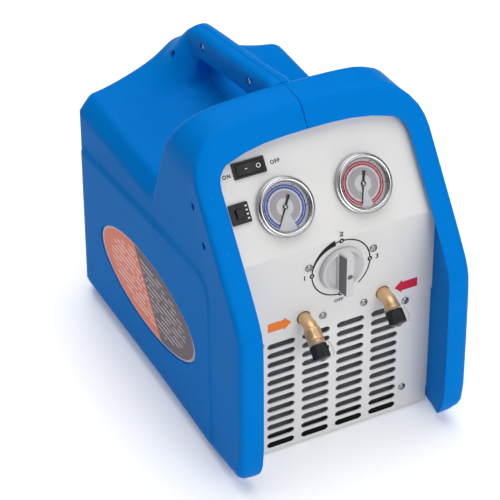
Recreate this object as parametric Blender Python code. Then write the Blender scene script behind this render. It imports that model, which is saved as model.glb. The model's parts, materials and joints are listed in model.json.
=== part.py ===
"""Refrigerant recovery machine: two moulded half shells with a carry handle, a creased control
panel with gauges, knob, switch and ports, and the pump, condenser and fan that they enclose.

Metres, +Z up, front towards -Y. The origin is the middle of the footprint on the floor.
Pieces on the front are built in their panel's own frame: x right, y up, z out of the panel.
"""

import math

import bmesh
import bpy
from mathutils import Matrix, Vector

# Clearances
FIT = 0.0003
SEAM = 0.0003

# Housing
DEPTH = 0.384
RIM_HALF_WIDTH = 0.125
RIM_STEP = 0.0045
RIM_FACE = 0.024
BASE_Z = 0.0065
WALL = 0.003
EDGE_RADIUS = 0.010
RIM_RADIUS = 0.005
REAR_RADIUS = 0.009
FRONT_FOOT_RADIUS = 0.044
FRONT_FOOT_REACH = 0.027
FRONT_EDGE_RADIUS = 0.022
FRONT_INNER_RADIUS = 0.010
KINK_Z = 0.194
KINK_SOFTNESS = 0.012
LEAN = math.radians(37.0)

# Front hoop
HOOP_TOP = 0.3565
HOOP_CROWN = 0.003
HOOP_CORNER_WIDTH = 0.057
HOOP_CORNER_HEIGHT = 0.045
HOOP_BACK_Y = 0.160
HOOP_BACK_SLOPE = 0.354

# Body behind the hoop
SHOULDER_Z = 0.2293
SHOULDER_RISE = 0.016
SHOULDER_WIDTH = 0.0125
CREST_RISE = 0.019
CREST_HALF_WIDTH = 0.020
CREST_CROWN = 0.001

# Handle
HANDLE_HALF_WIDTH = 0.013
HANDLE_FRONT_Z = 0.3550
HANDLE_FRONT_Y = 0.165
HANDLE_REAR_Z = 0.3235
HANDLE_REAR_GAP = 0.051
HANDLE_THICKNESS = 0.027
HUMP_LENGTH = 0.050
HUMP_END_RISE = 0.020
HOOP_TAIL = 0.019
GRIP_START = 0.203
GRIP_END_GAP = 0.066
GRIP_RADIUS = 0.012

# Raised field and oval recess on each side
FIELD_HEIGHT = 0.003
FIELD_BEVEL = 0.006
FIELD_FRONT = 0.068
FIELD_REAR_GAP = 0.011
FIELD_TOP_FRONT = 0.223
FIELD_TOP_REAR = 0.190
FIELD_CORNER = 0.030
OVAL_FRONT_GAP = 0.104
OVAL_REAR_GAP = 0.057
OVAL_Z = 0.1066
OVAL_HALF_HEIGHT = 0.046
OVAL_DEPTH = 0.0012

# Front opening
OPENING_DRAFT = 0.008
OPENING_TOP = 0.3345
OPENING_CROWN = 0.0078
OPENING_CORNER = 0.018

# Panels
PANEL_DEPTH = 0.047
PANEL_THICKNESS = 0.0015
PANEL_SIDE_GAP = 0.001
CREASE_Z = 0.243
CREASE_RADIUS = 0.006
PANEL_TOP_Z = 0.344
GRILLE_OVERLAP = 0.003
GRILLE_LOW_Z = 0.0025
GRILLE_COLUMNS = 4
GRILLE_ROWS = 12
SLOT_LENGTH = 0.0310
SLOT_HEIGHT = 0.0072
SLOT_PITCH_X = 0.0382
SLOT_PITCH_Z = 0.01135
TOP_SLOT_DROP = 0.0115

# Gauges, placed on the leaning panel: across, and up from the crease
GAUGE_SPACING = 0.084
GAUGE_UP = 0.0438
BEZEL_RADIUS = 0.0293
BEZEL_HEIGHT = 0.0085
GAUGE_CASE_RADIUS = 0.0262
GAUGE_CASE_DEPTH = 0.026
GAUGE_WALL = 0.001
DIAL_THICKNESS = 0.0008
LENS_THICKNESS = 0.0012
NEEDLE_LENGTH = 0.0195
NEEDLE_TAIL = 0.0085
NEEDLE_THICKNESS = 0.0006
LEFT_NEEDLE_ANGLE = math.radians(33.0)
RIGHT_NEEDLE_ANGLE = math.radians(20.0)
STEM_RADIUS = 0.006
STEM_LENGTH = 0.008

# Rocker switch
ROCKER_X = -0.066
ROCKER_UP = 0.0889
ROCKER_FRAME_LENGTH = 0.034
ROCKER_FRAME_HEIGHT = 0.0158
ROCKER_LENGTH = 0.0266
ROCKER_HEIGHT = 0.0108
ROCKER_BODY_DEPTH = 0.018
ROCKER_TILT = math.radians(8.0)
ROCKER_CAVITY_DEPTH = 0.009

# Circuit breaker
BREAKER_X = -0.0875
BREAKER_UP = 0.0500
BREAKER_SIZE = 0.0200
BREAKER_BODY_SIZE = 0.0160
BREAKER_BODY_DEPTH = 0.024
BREAKER_BUTTON_SIZE = 0.0090
BREAKER_BUTTON_PROUD = 0.0025

# Selector knob, its stem and the manifold behind the panel
KNOB_X = 0.006
KNOB_Z = 0.208
KNOB_RADIUS = 0.0240
KNOB_SKIRT = 0.0055
KNOB_GAP = 0.0008
KNOB_GRIP_WIDTH = 0.0118
KNOB_GRIP_HEIGHT = 0.0120
KNOB_GRIP_UP = 0.0228
KNOB_GRIP_FLARE = 0.0022
KNOB_POINTER = 0.0232
KNOB_RIM = 0.0026
KNOB_SCOOP_DEPTH = 0.0036
KNOB_BORE_DEPTH = 0.012
VALVE_STEM_RADIUS = 0.003
KNOB_SCREW_RADIUS = 0.0026
KNOB_SCREW_DEPTH = 0.004
BLOCK_LEFT = -0.046
BLOCK_RIGHT = 0.066
BLOCK_TOP = 0.229
BLOCK_DEPTH = 0.030

# Ports
INLET_X = -0.034
OUTLET_X = 0.053
PORT_UP = 0.014
PORT_HOLE_RADIUS = 0.0077
PORT_NECK_RADIUS = 0.0066
PORT_BODY_RADIUS = 0.0080
PORT_THREAD_RADIUS = 0.0060
PORT_THREAD_LENGTH = 0.0110
PORT_BORE_RADIUS = 0.0024
PORT_BEND_RADIUS = 0.010
PORT_BEND = math.radians(40.0)
PORT_SOCKET_DEPTH = 0.012
INLET_REACH = 0.009
INLET_LEG = 0.0155
OUTLET_REACH = 0.010
OUTLET_LEG = 0.0055
CAP_RADIUS = 0.0084
CAP_LENGTH = 0.0145
CAP_END = 0.003
STRAP_THICKNESS = 0.0012
STRAP_WIDTH = 0.0032
STRAP_LOOP = 0.0055
STRAP_DISC_RADIUS = 0.0045

# Screws
SCREW_HEAD_RADIUS = 0.0040
SCREW_HEAD_HEIGHT = 0.0022
SCREW_SHANK_RADIUS = 0.0018
PANEL_SCREW_LENGTH = 0.012
HANDLE_SCREW_LENGTH = 0.016
HUMP_SCREW_BACK = 0.0306
HUMP_SCREW_UP = 0.0227
SCREW_POCKET_RADIUS = 0.0046
FLANK_HOLE_RADIUS = 0.0040
UPPER_SCREW_SPACING = 0.070
UPPER_SCREW_Z = 0.219
LOWER_SCREW_SPACING = 0.045
LOWER_SCREW_UP = 0.009
GRILLE_SCREW_X = 0.080
GRILLE_SCREW_DROP = 0.007
GRILLE_SCREW_LOW_Z = 0.030

# Base, feet and rear panel
SHEET = 0.0015
BASE_FLANGE = 0.014
BASE_RIM = 0.0305
FOOT_RADIUS = 0.0085
FOOT_INSET = 0.0205
FOOT_FRONT_Y = 0.078
FOOT_REAR_GAP = 0.034
REAR_RIM = 0.0205
REAR_OPENING_LOW = 0.022
REAR_OPENING_HIGH = 0.226
REAR_OPENING_RADIUS = 0.014
REAR_LAP = 0.007
VENT_ROWS = 8
VENT_LENGTH = 0.070
VENT_HEIGHT = 0.006
VENT_PITCH = 0.012
VENT_TOP_Z = 0.200

# Power inlet
INLET_SOCKET_INSET = 0.040
INLET_SOCKET_Z = 0.050
SOCKET_FLANGE_WIDTH = 0.048
SOCKET_FLANGE_HEIGHT = 0.024
SOCKET_BODY_WIDTH = 0.028
SOCKET_BODY_HEIGHT = 0.020
SOCKET_BODY_DEPTH = 0.022
SOCKET_WALL = 0.0018
SOCKET_DEPTH = 0.018
SOCKET_PIN_LENGTH = 0.011

# Condenser, fan and shroud
COIL_GAP = 0.006
COIL_SIDE_GAP = 0.0265
COIL_HEIGHT = 0.126
COIL_HEADROOM = 0.0094
COIL_DEPTH = 0.022
COIL_PLATE = 0.0015
COIL_TUBE_RADIUS = 0.0042
COIL_ROWS = 4
FAN_RADIUS = 0.056
FAN_HUB_RADIUS = 0.017
FAN_HUB_LENGTH = 0.018
FAN_BLADES = 5
FAN_PITCH = math.radians(32.0)
FAN_TIP_GAP = 0.0025
SHROUD_LENGTH = 0.034
SHROUD_WALL = 0.002
FAN_MOTOR_RADIUS = 0.024
FAN_MOTOR_LENGTH = 0.036
FAN_SHAFT_RADIUS = 0.0025

# Compressor
MOTOR_Y = 0.262
MOTOR_Z = 0.078
MOTOR_RADIUS = 0.047
MOTOR_LENGTH = 0.096
MOTOR_RIBS = 4
CRANKCASE_WIDTH = 0.036
CRANKCASE_RADIUS = 0.038
CYLINDER_RADIUS = 0.024
CYLINDER_TOP_Z = 0.166
HEAD_SIZE = 0.058
HEAD_HEIGHT = 0.020
HEAD_FINS = 4
CRADLE_HEIGHT = 0.030
CRADLE_INSET = 0.008
CRADLE_SHEET = 0.002

# Capacitor and copper tubes
CAPACITOR_RADIUS = 0.017
CAPACITOR_HEIGHT = 0.070
CAPACITOR_INSET = 0.0385
CAPACITOR_Y = 0.190
TUBE_RADIUS = 0.0032
TUBE_BEND = 0.0068
DISCHARGE_INSET = 0.010
LIQUID_INSET = 0.0173
LIQUID_BACK = 0.122
SUCTION_Z = 0.181

# Facets
FINE = 26
MEDIUM = 16
COARSE = 10

# Places that follow from the sizes above
FRONT_Y = -DEPTH / 2
BACK_Y = DEPTH / 2
PANEL_Y = FRONT_Y + PANEL_DEPTH
TAN_LEAN = math.tan(LEAN)
BODY_HALF_WIDTH = RIM_HALF_WIDTH - RIM_STEP
OPENING_HALF_WIDTH = RIM_HALF_WIDTH - RIM_FACE
PANEL_HALF_WIDTH = BODY_HALF_WIDTH - WALL - PANEL_SIDE_GAP
BASE_OPENING_HALF_WIDTH = BODY_HALF_WIDTH - BASE_RIM
REAR_OPENING_HALF_WIDTH = BODY_HALF_WIDTH - REAR_RIM
COIL_HALF_WIDTH = BODY_HALF_WIDTH - COIL_SIDE_GAP
FOOT_X = BODY_HALF_WIDTH - FOOT_INSET
INLET_SOCKET_X = REAR_OPENING_HALF_WIDTH - INLET_SOCKET_INSET
CAPACITOR_X = CAPACITOR_INSET - BODY_HALF_WIDTH
DISCHARGE_X = BODY_HALF_WIDTH - DISCHARGE_INSET
LIQUID_X = BODY_HALF_WIDTH - LIQUID_INSET
LIQUID_Y = FRONT_Y + LIQUID_BACK
HANDLE_REAR_Y = DEPTH - HANDLE_REAR_GAP
GRIP_END = DEPTH - GRIP_END_GAP
FIELD_REAR = DEPTH - FIELD_REAR_GAP
FOOT_REAR_Y = DEPTH - FOOT_REAR_GAP
OVAL_HALF_LENGTH = (DEPTH - OVAL_FRONT_GAP - OVAL_REAR_GAP) / 2
OVAL_Y = OVAL_FRONT_GAP + OVAL_HALF_LENGTH
PANEL_BOTTOM_Z = BASE_Z + WALL + SHEET + 2 * FIT + COIL_HEIGHT + COIL_HEADROOM
PORT_Z = PANEL_BOTTOM_Z + PORT_UP
LOWER_SCREW_Z = PANEL_BOTTOM_Z + LOWER_SCREW_UP
GRILLE_SCREW_HIGH_Z = PANEL_BOTTOM_Z - GRILLE_SCREW_DROP
TOP_SLOT_Z = PANEL_BOTTOM_Z - TOP_SLOT_DROP
BODY_TOP_Z = SHOULDER_Z + SHOULDER_RISE + CREST_RISE
FRAME_X = Matrix.Rotation(math.radians(90), 4, "Y")


# Materials
def material(name, colour, roughness, metallic=0.0, alpha=1.0):
    made = bpy.data.materials.new(name)
    made.use_nodes = True
    shader = made.node_tree.nodes["Principled BSDF"]
    shader.inputs["Base Color"].default_value = (*colour, 1.0)
    shader.inputs["Roughness"].default_value = roughness
    shader.inputs["Metallic"].default_value = metallic
    shader.inputs["Alpha"].default_value = alpha
    made.diffuse_color = (*colour, alpha)
    return made


def palette():
    return {
        "blue": material("shell_blue", (0.004, 0.17, 0.62), 0.4),
        "panel": material("panel_grey", (0.72, 0.72, 0.72), 0.45),
        "black": material("black_plastic", (0.012, 0.012, 0.014), 0.4),
        "knob": material("knob_grey", (0.60, 0.60, 0.60), 0.45),
        "chrome": material("chrome", (0.75, 0.75, 0.76), 0.12, 1.0),
        "dial": material("dial_white", (0.82, 0.82, 0.83), 0.5),
        "glass": material("clear_lens", (0.95, 0.97, 1.0), 0.05, 0.0, 0.25),
        "brass": material("brass", (0.78, 0.52, 0.24), 0.28, 1.0),
        "steel": material("zinc_steel", (0.55, 0.56, 0.58), 0.35, 1.0),
        "aluminium": material("aluminium", (0.62, 0.63, 0.65), 0.45, 1.0),
        "copper": material("copper", (0.72, 0.34, 0.20), 0.3, 1.0),
        "strap": material("clear_strap", (0.72, 0.68, 0.60), 0.35),
        "rubber": material("rubber", (0.015, 0.015, 0.015), 0.8),
        "motor": material("motor_grey", (0.10, 0.11, 0.12), 0.5),
    }


# Basic solids
def finish(name, mesh_data, look, angle=35.0):
    """Makes an object from a bmesh, with its faces out and its round faces smooth."""
    bmesh.ops.remove_doubles(mesh_data, verts=mesh_data.verts, dist=1e-7)
    bmesh.ops.recalc_face_normals(mesh_data, faces=mesh_data.faces)
    mesh = bpy.data.meshes.new(name)
    mesh_data.to_mesh(mesh)
    mesh_data.free()
    if look:
        mesh.materials.append(look)
    obj = bpy.data.objects.new(name, mesh)
    bpy.context.scene.collection.objects.link(obj)
    smooth(obj, angle)
    return obj


def smooth(obj, angle=35.0):
    obj.data.shade_smooth()
    obj.data.set_sharp_from_angle(angle=math.radians(angle))


def combine(obj, other, operation="DIFFERENCE"):
    """Cuts other from obj, or joins it, and removes other."""
    modifier = obj.modifiers.new("combine", "BOOLEAN")
    modifier.operation = operation
    modifier.object = other
    modifier.solver = "EXACT"
    bpy.context.view_layer.update()
    graph = bpy.context.evaluated_depsgraph_get()
    mesh = bpy.data.meshes.new_from_object(obj.evaluated_get(graph))
    obj.modifiers.clear()
    old, obj.data = obj.data, mesh
    mesh.name = obj.name
    bpy.data.meshes.remove(old)
    bpy.data.objects.remove(other)
    smooth(obj)
    return obj


def place(obj, frame):
    obj.matrix_world = frame
    return obj


def rings_solid(name, rings, look, row_caps=False):
    """A closed solid through rings of equally many points. Row caps join the points of like index on
    each side of the middle, so that an end follows a surface that bends with height."""
    mesh_data = bmesh.new()
    made = [[mesh_data.verts.new(point) for point in ring] for ring in rings]
    count = len(rings[0])
    for ring, following in zip(made, made[1:]):
        for index in range(count):
            after = (index + 1) % count
            mesh_data.faces.new((ring[index], ring[after], following[after], following[index]))
    for ring in (made[0], made[-1]):
        if row_caps:
            for index in range(count // 2 - 1):
                other = count - 1 - index
                mesh_data.faces.new((ring[index], ring[index + 1], ring[other - 1], ring[other]))
        else:
            mesh_data.faces.new(ring)
    return finish(name, mesh_data, look)


def prism(name, outline, low, high, look=None, axis="Z"):
    """An outline of (u, v) points, extruded from low to high. The pair (u, v) is (x, y) for axis Z,
    (x, z) for axis Y and (y, z) for axis X."""
    def point(pair, along):
        if axis == "X":
            return (along, pair[0], pair[1])
        if axis == "Y":
            return (pair[0], along, pair[1])
        return (pair[0], pair[1], along)
    rings = [[point(pair, along) for pair in outline] for along in (low, high)]
    return rings_solid(name, rings, look)


def box(name, low, high, look=None):
    outline = [(low[0], low[1]), (high[0], low[1]), (high[0], high[1]), (low[0], high[1])]
    return prism(name, outline, low[2], high[2], look)


def turned(name, profile, segments, look):
    """A solid of revolution about local Z through (radius, height) points that start and end on it."""
    mesh_data = bmesh.new()
    rings = []
    for radius, height in profile:
        if radius < 1e-9:
            rings.append([mesh_data.verts.new((0, 0, height))])
            continue
        angles = [2 * math.pi * index / segments for index in range(segments)]
        ring = [(radius * math.cos(turn), radius * math.sin(turn), height) for turn in angles]
        rings.append([mesh_data.verts.new(point) for point in ring])
    pairs = list(zip(rings, rings[1:]))
    if len(rings[0]) > 1:
        pairs.append((rings[-1], rings[0]))
    for ring, following in pairs:
        for index in range(segments):
            after = (index + 1) % segments
            corners = [ring[index % len(ring)], ring[after % len(ring)]]
            corners += [following[after % len(following)], following[index % len(following)]]
            corners = list(dict.fromkeys(corners))
            if len(corners) > 2:
                mesh_data.faces.new(corners)
    return finish(name, mesh_data, look)


def rod(name, radius, low, high, segments=MEDIUM, look=None):
    return turned(name, [(0, low), (radius, low), (radius, high), (0, high)], segments, look)


def arc(centre, radius, start, end, steps):
    """Points on an arc, angles in degrees; radius is a number or (across, up)."""
    across, up = radius if isinstance(radius, tuple) else (radius, radius)
    turns = [math.radians(start + (end - start) * step / steps) for step in range(steps + 1)]
    return [(centre[0] + across * math.cos(a), centre[1] + up * math.sin(a)) for a in turns]


def rounded_box(width, height, radius, steps=3, centre=(0, 0)):
    """The outline of a rectangle with round corners."""
    points = []
    for quarter, (side, end) in enumerate(((1, 1), (-1, 1), (-1, -1), (1, -1))):
        middle = (centre[0] + side * (width / 2 - radius), centre[1] + end * (height / 2 - radius))
        points += arc(middle, radius, 90 * quarter, 90 * quarter + 90, steps)
    return points


def slot_outline(length, height, centre, steps=3):
    middle = length / 2 - height / 2
    right = arc((centre[0] + middle, centre[1]), height / 2, -90, 90, steps)
    return right + arc((centre[0] - middle, centre[1]), height / 2, 90, 270, steps)


def inset(points, distance, closed):
    """Each point of an anticlockwise outline moved inwards. An open one runs from the middle of the
    bottom up to the middle of the top, and its end points move straight in."""
    moved = []
    count = len(points)
    for index, point in enumerate(points):
        before = points[(index - 1) % count] if closed or index else (0.0, point[1])
        after = points[(index + 1) % count] if closed or index < count - 1 else (0.0, point[1])
        along = Vector((after[0] - before[0], after[1] - before[1]))
        along.normalize()
        moved.append((point[0] - along.y * distance, point[1] + along.x * distance))
    return moved


def sweep(name, stations, sides, look):
    """A closed round bar through (centre, direction, radius) stations."""
    rings = []
    across = stations[0][1].orthogonal()
    for centre, direction, radius in stations:
        across = (across - direction * across.dot(direction)).normalized()
        other = direction.cross(across)
        turns = [2 * math.pi * index / sides for index in range(sides)]
        rings.append([centre + (across * math.cos(a) + other * math.sin(a)) * radius for a in turns])
    return rings_solid(name, rings, look)


def bent_path(corners, radius, steps=4):
    """Points and directions along straight runs whose corners are rounded to one radius."""
    path = [(corners[0], (corners[1] - corners[0]).normalized())]
    for before, corner, after in zip(corners, corners[1:], corners[2:]):
        inwards, outwards = (corner - before).normalized(), (after - corner).normalized()
        angle = inwards.angle(outwards)
        setback = radius * math.tan(angle / 2)
        axis = inwards.cross(outwards).normalized()
        start = corner - inwards * setback
        centre = start + axis.cross(inwards) * radius
        for step in range(steps + 1):
            turn = Matrix.Rotation(angle * step / steps, 3, axis)
            path.append((centre + turn @ (start - centre), turn @ inwards))
    path.append((corners[-1], (corners[-1] - corners[-2]).normalized()))
    return path


def bent_tube(name, corners, radius, bend, look):
    path = bent_path([Vector(corner) for corner in corners], bend)
    return sweep(name, [(point, way, radius) for point, way in path], 8, look)


def blend(low, high, value):
    """0 below low, 1 above high, and a smooth rise between."""
    part = min(max((value - low) / (high - low), 0.0), 1.0)
    return part * part * (3 - 2 * part)


# Frames of the front panels
def upright_frame(x, z):
    return Matrix.Translation((x, PANEL_Y, z)) @ Matrix.Rotation(math.radians(90), 4, "X")


def leaning_frame(x, up):
    origin = (x, PANEL_Y + up * math.sin(LEAN), CREASE_Z + up * math.cos(LEAN))
    return Matrix.Translation(origin) @ Matrix.Rotation(math.radians(90) - LEAN, 4, "X")


def holder(name, frame):
    """An empty that carries a group of pieces in one frame."""
    empty = bpy.data.objects.new(name, None)
    empty.empty_display_size = 0.01
    bpy.context.scene.collection.objects.link(empty)
    empty.matrix_world = frame
    bpy.context.view_layer.update()
    return empty


def hang(obj, parent, offset=None):
    obj.parent = parent
    obj.matrix_local = offset or Matrix()
    return obj


# Surfaces of the shells
def soft_ramp(height):
    """Zero below the kink and rising with the lean above it, with a soft corner."""
    return (height + math.hypot(height, KINK_SOFTNESS)) / 2


def front_y(z):
    """The front edge of the hoop and wings at a height."""
    y = FRONT_Y + TAN_LEAN * soft_ramp(z - KINK_Z)
    below = BASE_Z + FRONT_FOOT_RADIUS - z
    if below > 0:
        share = min(below / FRONT_FOOT_RADIUS, 1.0)
        y += FRONT_FOOT_REACH * (1 - math.sqrt(1 - share**2))
    return y


def panel_front_y(z):
    return PANEL_Y + TAN_LEAN * max(0.0, z - CREASE_Z)


def hoop_back_y(z):
    return FRONT_Y + HOOP_BACK_Y + (HOOP_TOP - max(z, SHOULDER_Z)) * HOOP_BACK_SLOPE


def side_levels():
    """Heights of the rows of points up a side, closer together round the foot and the kink."""
    low = BASE_Z + EDGE_RADIUS
    foot = BASE_Z + FRONT_FOOT_RADIUS
    rows = [(low + foot) / 2, foot, foot + (KINK_Z - foot) * 0.5, KINK_Z - 2 * KINK_SOFTNESS]
    rows += [KINK_Z + KINK_SOFTNESS * step for step in (-0.8, 0.0, 0.8)]
    return rows + [(KINK_Z + KINK_SOFTNESS + SHOULDER_Z) / 2, SHOULDER_Z]


def lower_half(half_width, radius=EDGE_RADIUS):
    """The right half of an outline from the bottom to the shoulder."""
    corner = (half_width - radius, BASE_Z + radius)
    return arc(corner, radius, -90, 0, 4) + [(half_width, z) for z in side_levels()[1:]]


def hoop_half(half_width, radius=EDGE_RADIUS):
    """The right half of the hoop's outline, with places for the valley and the handle on its top."""
    points = lower_half(half_width, radius)
    corner_x = half_width - HOOP_CORNER_WIDTH
    corner_z = HOOP_TOP - HOOP_CROWN - HOOP_CORNER_HEIGHT
    rise = corner_z - SHOULDER_Z
    points += [(half_width, SHOULDER_Z + rise * part) for part in (0.25, 0.5, 0.75)]
    points += arc((corner_x, corner_z), (HOOP_CORNER_WIDTH, HOOP_CORNER_HEIGHT), 0, 86, 7)
    reach = points[-1][0]
    for x in valley_columns(reach) + handle_columns():
        crown = HOOP_CROWN * (1 - (x / reach) ** 2)
        points.append((x, points[-1][1] if x >= reach else HOOP_TOP - HOOP_CROWN + crown))
    return points


def valley_columns(reach):
    """Five places across the top between the hoop's corner and the handle."""
    near = HANDLE_HALF_WIDTH + 0.009
    return [reach + (near - reach) * step / 5 for step in range(1, 6)]


def handle_columns():
    """Six places across half of the handle, from its foot to its crest."""
    return [HANDLE_HALF_WIDTH * share for share in (1.3, 1.09, 1.0, 0.9, 0.64, 0.27)]


def handle_top_z(y):
    """The handle's crest: a straight bar that falls to the body over the rear hump."""
    share = (y - FRONT_Y - HANDLE_FRONT_Y) / (HANDLE_REAR_Y - HANDLE_FRONT_Y)
    crest = HANDLE_FRONT_Z + (HANDLE_REAR_Z - HANDLE_FRONT_Z) * min(max(share, 0.0), 1.0)
    drop = blend(HANDLE_REAR_Y, HANDLE_REAR_Y + HUMP_LENGTH, y - FRONT_Y)
    return crest + (BODY_TOP_Z + HUMP_END_RISE - crest) * drop


def valley_z(x):
    """The body's top between shoulder and crest."""
    edge = BODY_HALF_WIDTH - SHOULDER_WIDTH
    share = min(max((edge - x) / (edge - CREST_HALF_WIDTH), 0.0), 1.0)
    rise = 0.35 * share + 0.65 * share * share * (3 - 2 * share)
    crown = CREST_CROWN * max(0.0, 1 - (x / CREST_HALF_WIDTH) ** 2)
    return SHOULDER_Z + SHOULDER_RISE + CREST_RISE * rise + crown


def body_half(y, with_handle=True, lift=0.0):
    """The right half of the body's outline at a place along it, with as many points as the hoop's."""
    points = lower_half(BODY_HALF_WIDTH)
    edge = BODY_HALF_WIDTH - SHOULDER_WIDTH
    for share in (0.12, 0.5, 0.88):
        x = BODY_HALF_WIDTH - SHOULDER_WIDTH * share * (1 - 0.15 * (1 - share))
        points.append((x, SHOULDER_Z + SHOULDER_RISE * share + lift * share))
    near = valley_columns(edge)[-1]
    across = [edge + (near - edge) * (step + 0.3) / 12.3 for step in range(13)] + handle_columns()
    wide = blend(HANDLE_REAR_Y - 0.030, HANDLE_REAR_Y + 0.014, y - FRONT_Y)
    top = handle_top_z(y)
    for index, x in enumerate(across):
        handle_index = index - 13
        floor = valley_z(x)
        height = top - floor
        tight = 0.0
        if handle_index >= 0:
            drops = (height, height - 0.003, 0.011, 0.0045, 0.0012, 0.0)
            tight = max(0.0, 1 - drops[handle_index] / max(height, 1e-6))
        broad = 1 / (1 + (x / (2 * HANDLE_HALF_WIDTH)) ** 3)
        share = (1 - wide) * tight + wide * max(broad, tight * 0.9)
        if not with_handle:
            share = 0.0
        raised = lift if share < 0.2 else 0.0
        points.append((x, floor + height * share + raised))
    return points


def shrink(half, distance):
    """A right half outline scaled towards its middle, so that its sides and its top move in alike."""
    low, high = half[0][1], max(z for _, z in half)
    middle = (low + high) / 2
    across = 1 - distance / max(x for x, _ in half)
    up = 1 - distance / (high - middle)
    return [(x * across, middle + (z - middle) * up) for x, z in half]


def ring(half, place_y):
    """A closed ring from a right half outline; place_y gives y from a height."""
    right = [(x, place_y(z), z) for x, z in half]
    left = [(-x, y, z) for x, y, z in right]
    return left + right[::-1]


def body_stations():
    """Places along the body, from behind the hoop to the rear of the handle's hump."""
    first = HOOP_BACK_Y + (HOOP_TOP - SHOULDER_Z) * HOOP_BACK_SLOPE + HOOP_TAIL
    rear = [HANDLE_REAR_Y + step for step in (-0.033, -0.017, -0.005, 0.006, 0.017, 0.029)]
    return [first, (first + rear[0]) / 2] + rear


def body_rings(offset):
    """Rings of the housing, moved inwards by offset. The inner set has no handle and no rounded ends."""
    rings = []
    inner = offset > 0
    if inner:
        depth = offset + RIM_RADIUS / 2
        half = shrink(hoop_half(RIM_HALF_WIDTH, FRONT_EDGE_RADIUS), offset)
        rings.append(ring(half, lambda z: front_y(z) + depth))
    else:
        for share in (1.0, 0.29, 0.0):
            half = shrink(hoop_half(RIM_HALF_WIDTH, FRONT_EDGE_RADIUS), RIM_RADIUS * share)
            depth = RIM_RADIUS * (1 - math.sqrt(1 - (1 - share) ** 2))
            rings.append(ring(half, lambda z, depth=depth: front_y(z) + depth))
    middle = (RIM_HALF_WIDTH + BODY_HALF_WIDTH) / 2
    half = shrink(hoop_half(middle), offset)
    rings.append(ring(half, lambda z: (front_y(z) * 2 + hoop_back_y(z)) / 3))
    half = shrink(hoop_half(BODY_HALF_WIDTH), offset)
    rings.append(ring(half, lambda z: hoop_back_y(z) - 0.006 - offset))
    if not inner:
        plain = hoop_half(BODY_HALF_WIDTH)
        small = shrink(plain, 0.0025)
        half = [low if low[1] <= SHOULDER_Z else high for low, high in zip(plain, small)]
        rings.append(ring(half, lambda z: hoop_back_y(z) - 0.001))
    start = FRONT_Y + HOOP_BACK_Y
    for lift, back in ((0.012, 0.0), (0.0035, 0.004), (0.0, 0.013)) if not inner else ((0.0, 0.0),):
        half = shrink(body_half(start, not inner, lift), offset)
        rings.append(ring(half, lambda z, back=back: hoop_back_y(z) + back - offset * 1.2))
    for station in body_stations()[:1 if inner else None]:
        half = shrink(body_half(FRONT_Y + station, not inner), offset)
        rings.append(ring(half, lambda z, station=station: FRONT_Y + station))
    if inner:
        half = shrink(body_half(BACK_Y, False), offset)
        rings.append(ring(half, lambda z: BACK_Y - WALL))
        return rings
    for share in (0.0, 0.29, 1.0):
        half = shrink(body_half(BACK_Y - REAR_RADIUS), REAR_RADIUS * share)
        depth = REAR_RADIUS * (1 - math.sqrt(1 - (1 - share) ** 2))
        rings.append(ring(half, lambda z, depth=depth: BACK_Y - depth))
    return rings


def opening_rings(extra, stations):
    """Rings of the front opening, widened by extra; each station is (draft share, y of height)."""
    rings = []
    for share, place_y in stations:
        half_width = OPENING_HALF_WIDTH + OPENING_DRAFT * share + extra
        top = OPENING_TOP - OPENING_CROWN + extra
        flare = FRONT_INNER_RADIUS * (1 - share)
        half = [(half_width + flare, -0.02)]
        for turn in (0, 30, 60, 90):
            angle = math.radians(turn)
            x = half_width + flare * (1 - math.sin(angle))
            half.append((x, BASE_Z + FRONT_INNER_RADIUS * (1 - math.cos(angle))))
        half.append((half_width, BASE_Z + FRONT_FOOT_RADIUS))
        levels = [PANEL_BOTTOM_Z - gap for gap in (0.0012, 0.0006)] + side_levels()[3:-2]
        half += [(half_width, z) for z in sorted(levels)]
        half += [(half_width, CREASE_Z - 0.001), (half_width, CREASE_Z + 0.001)]
        corner = (half_width - OPENING_CORNER, top - OPENING_CORNER)
        half += arc(corner, OPENING_CORNER, 0, 84, 5)
        reach = half[-1][0]
        for part in (0.8, 0.55, 0.3, 0.03):
            half.append((reach * part, top + OPENING_CROWN * (1 - part**3)))
        rings.append(ring(half, place_y))
    return rings


def side_field(side):
    """The raised field of one side: a shallow pad with bevelled edges."""
    slope = (FIELD_TOP_FRONT - FIELD_TOP_REAR) / (FIELD_REAR - FIELD_FRONT)
    corner = (FIELD_FRONT + FIELD_CORNER, FIELD_TOP_FRONT - FIELD_CORNER - slope * FIELD_CORNER)
    low = BASE_Z + EDGE_RADIUS
    outline = [(FIELD_REAR, low), (FIELD_REAR, FIELD_TOP_REAR)]
    outline += arc(corner, FIELD_CORNER, 90, 180, 4) + [(FIELD_FRONT, low)]
    outline = [(FRONT_Y + y, z) for y, z in outline]
    rings = []
    for depth, grow in ((-WALL, 0.0), (0.0, 0.0), (FIELD_HEIGHT, FIELD_BEVEL)):
        grown = inset(outline, grow, True)
        rings.append([(side * (BODY_HALF_WIDTH + depth), y, z) for y, z in grown])
    return rings_solid("field", rings, None)


def oval_cutter(side):
    outline = arc((FRONT_Y + OVAL_Y, OVAL_Z), (OVAL_HALF_LENGTH, OVAL_HALF_HEIGHT), 0, 350, 35)
    face = BODY_HALF_WIDTH + FIELD_HEIGHT
    ends = sorted((side * (face - OVAL_DEPTH), side * (face + 0.01)))
    return prism("oval", outline, ends[0], ends[1], None, "X")


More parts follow.
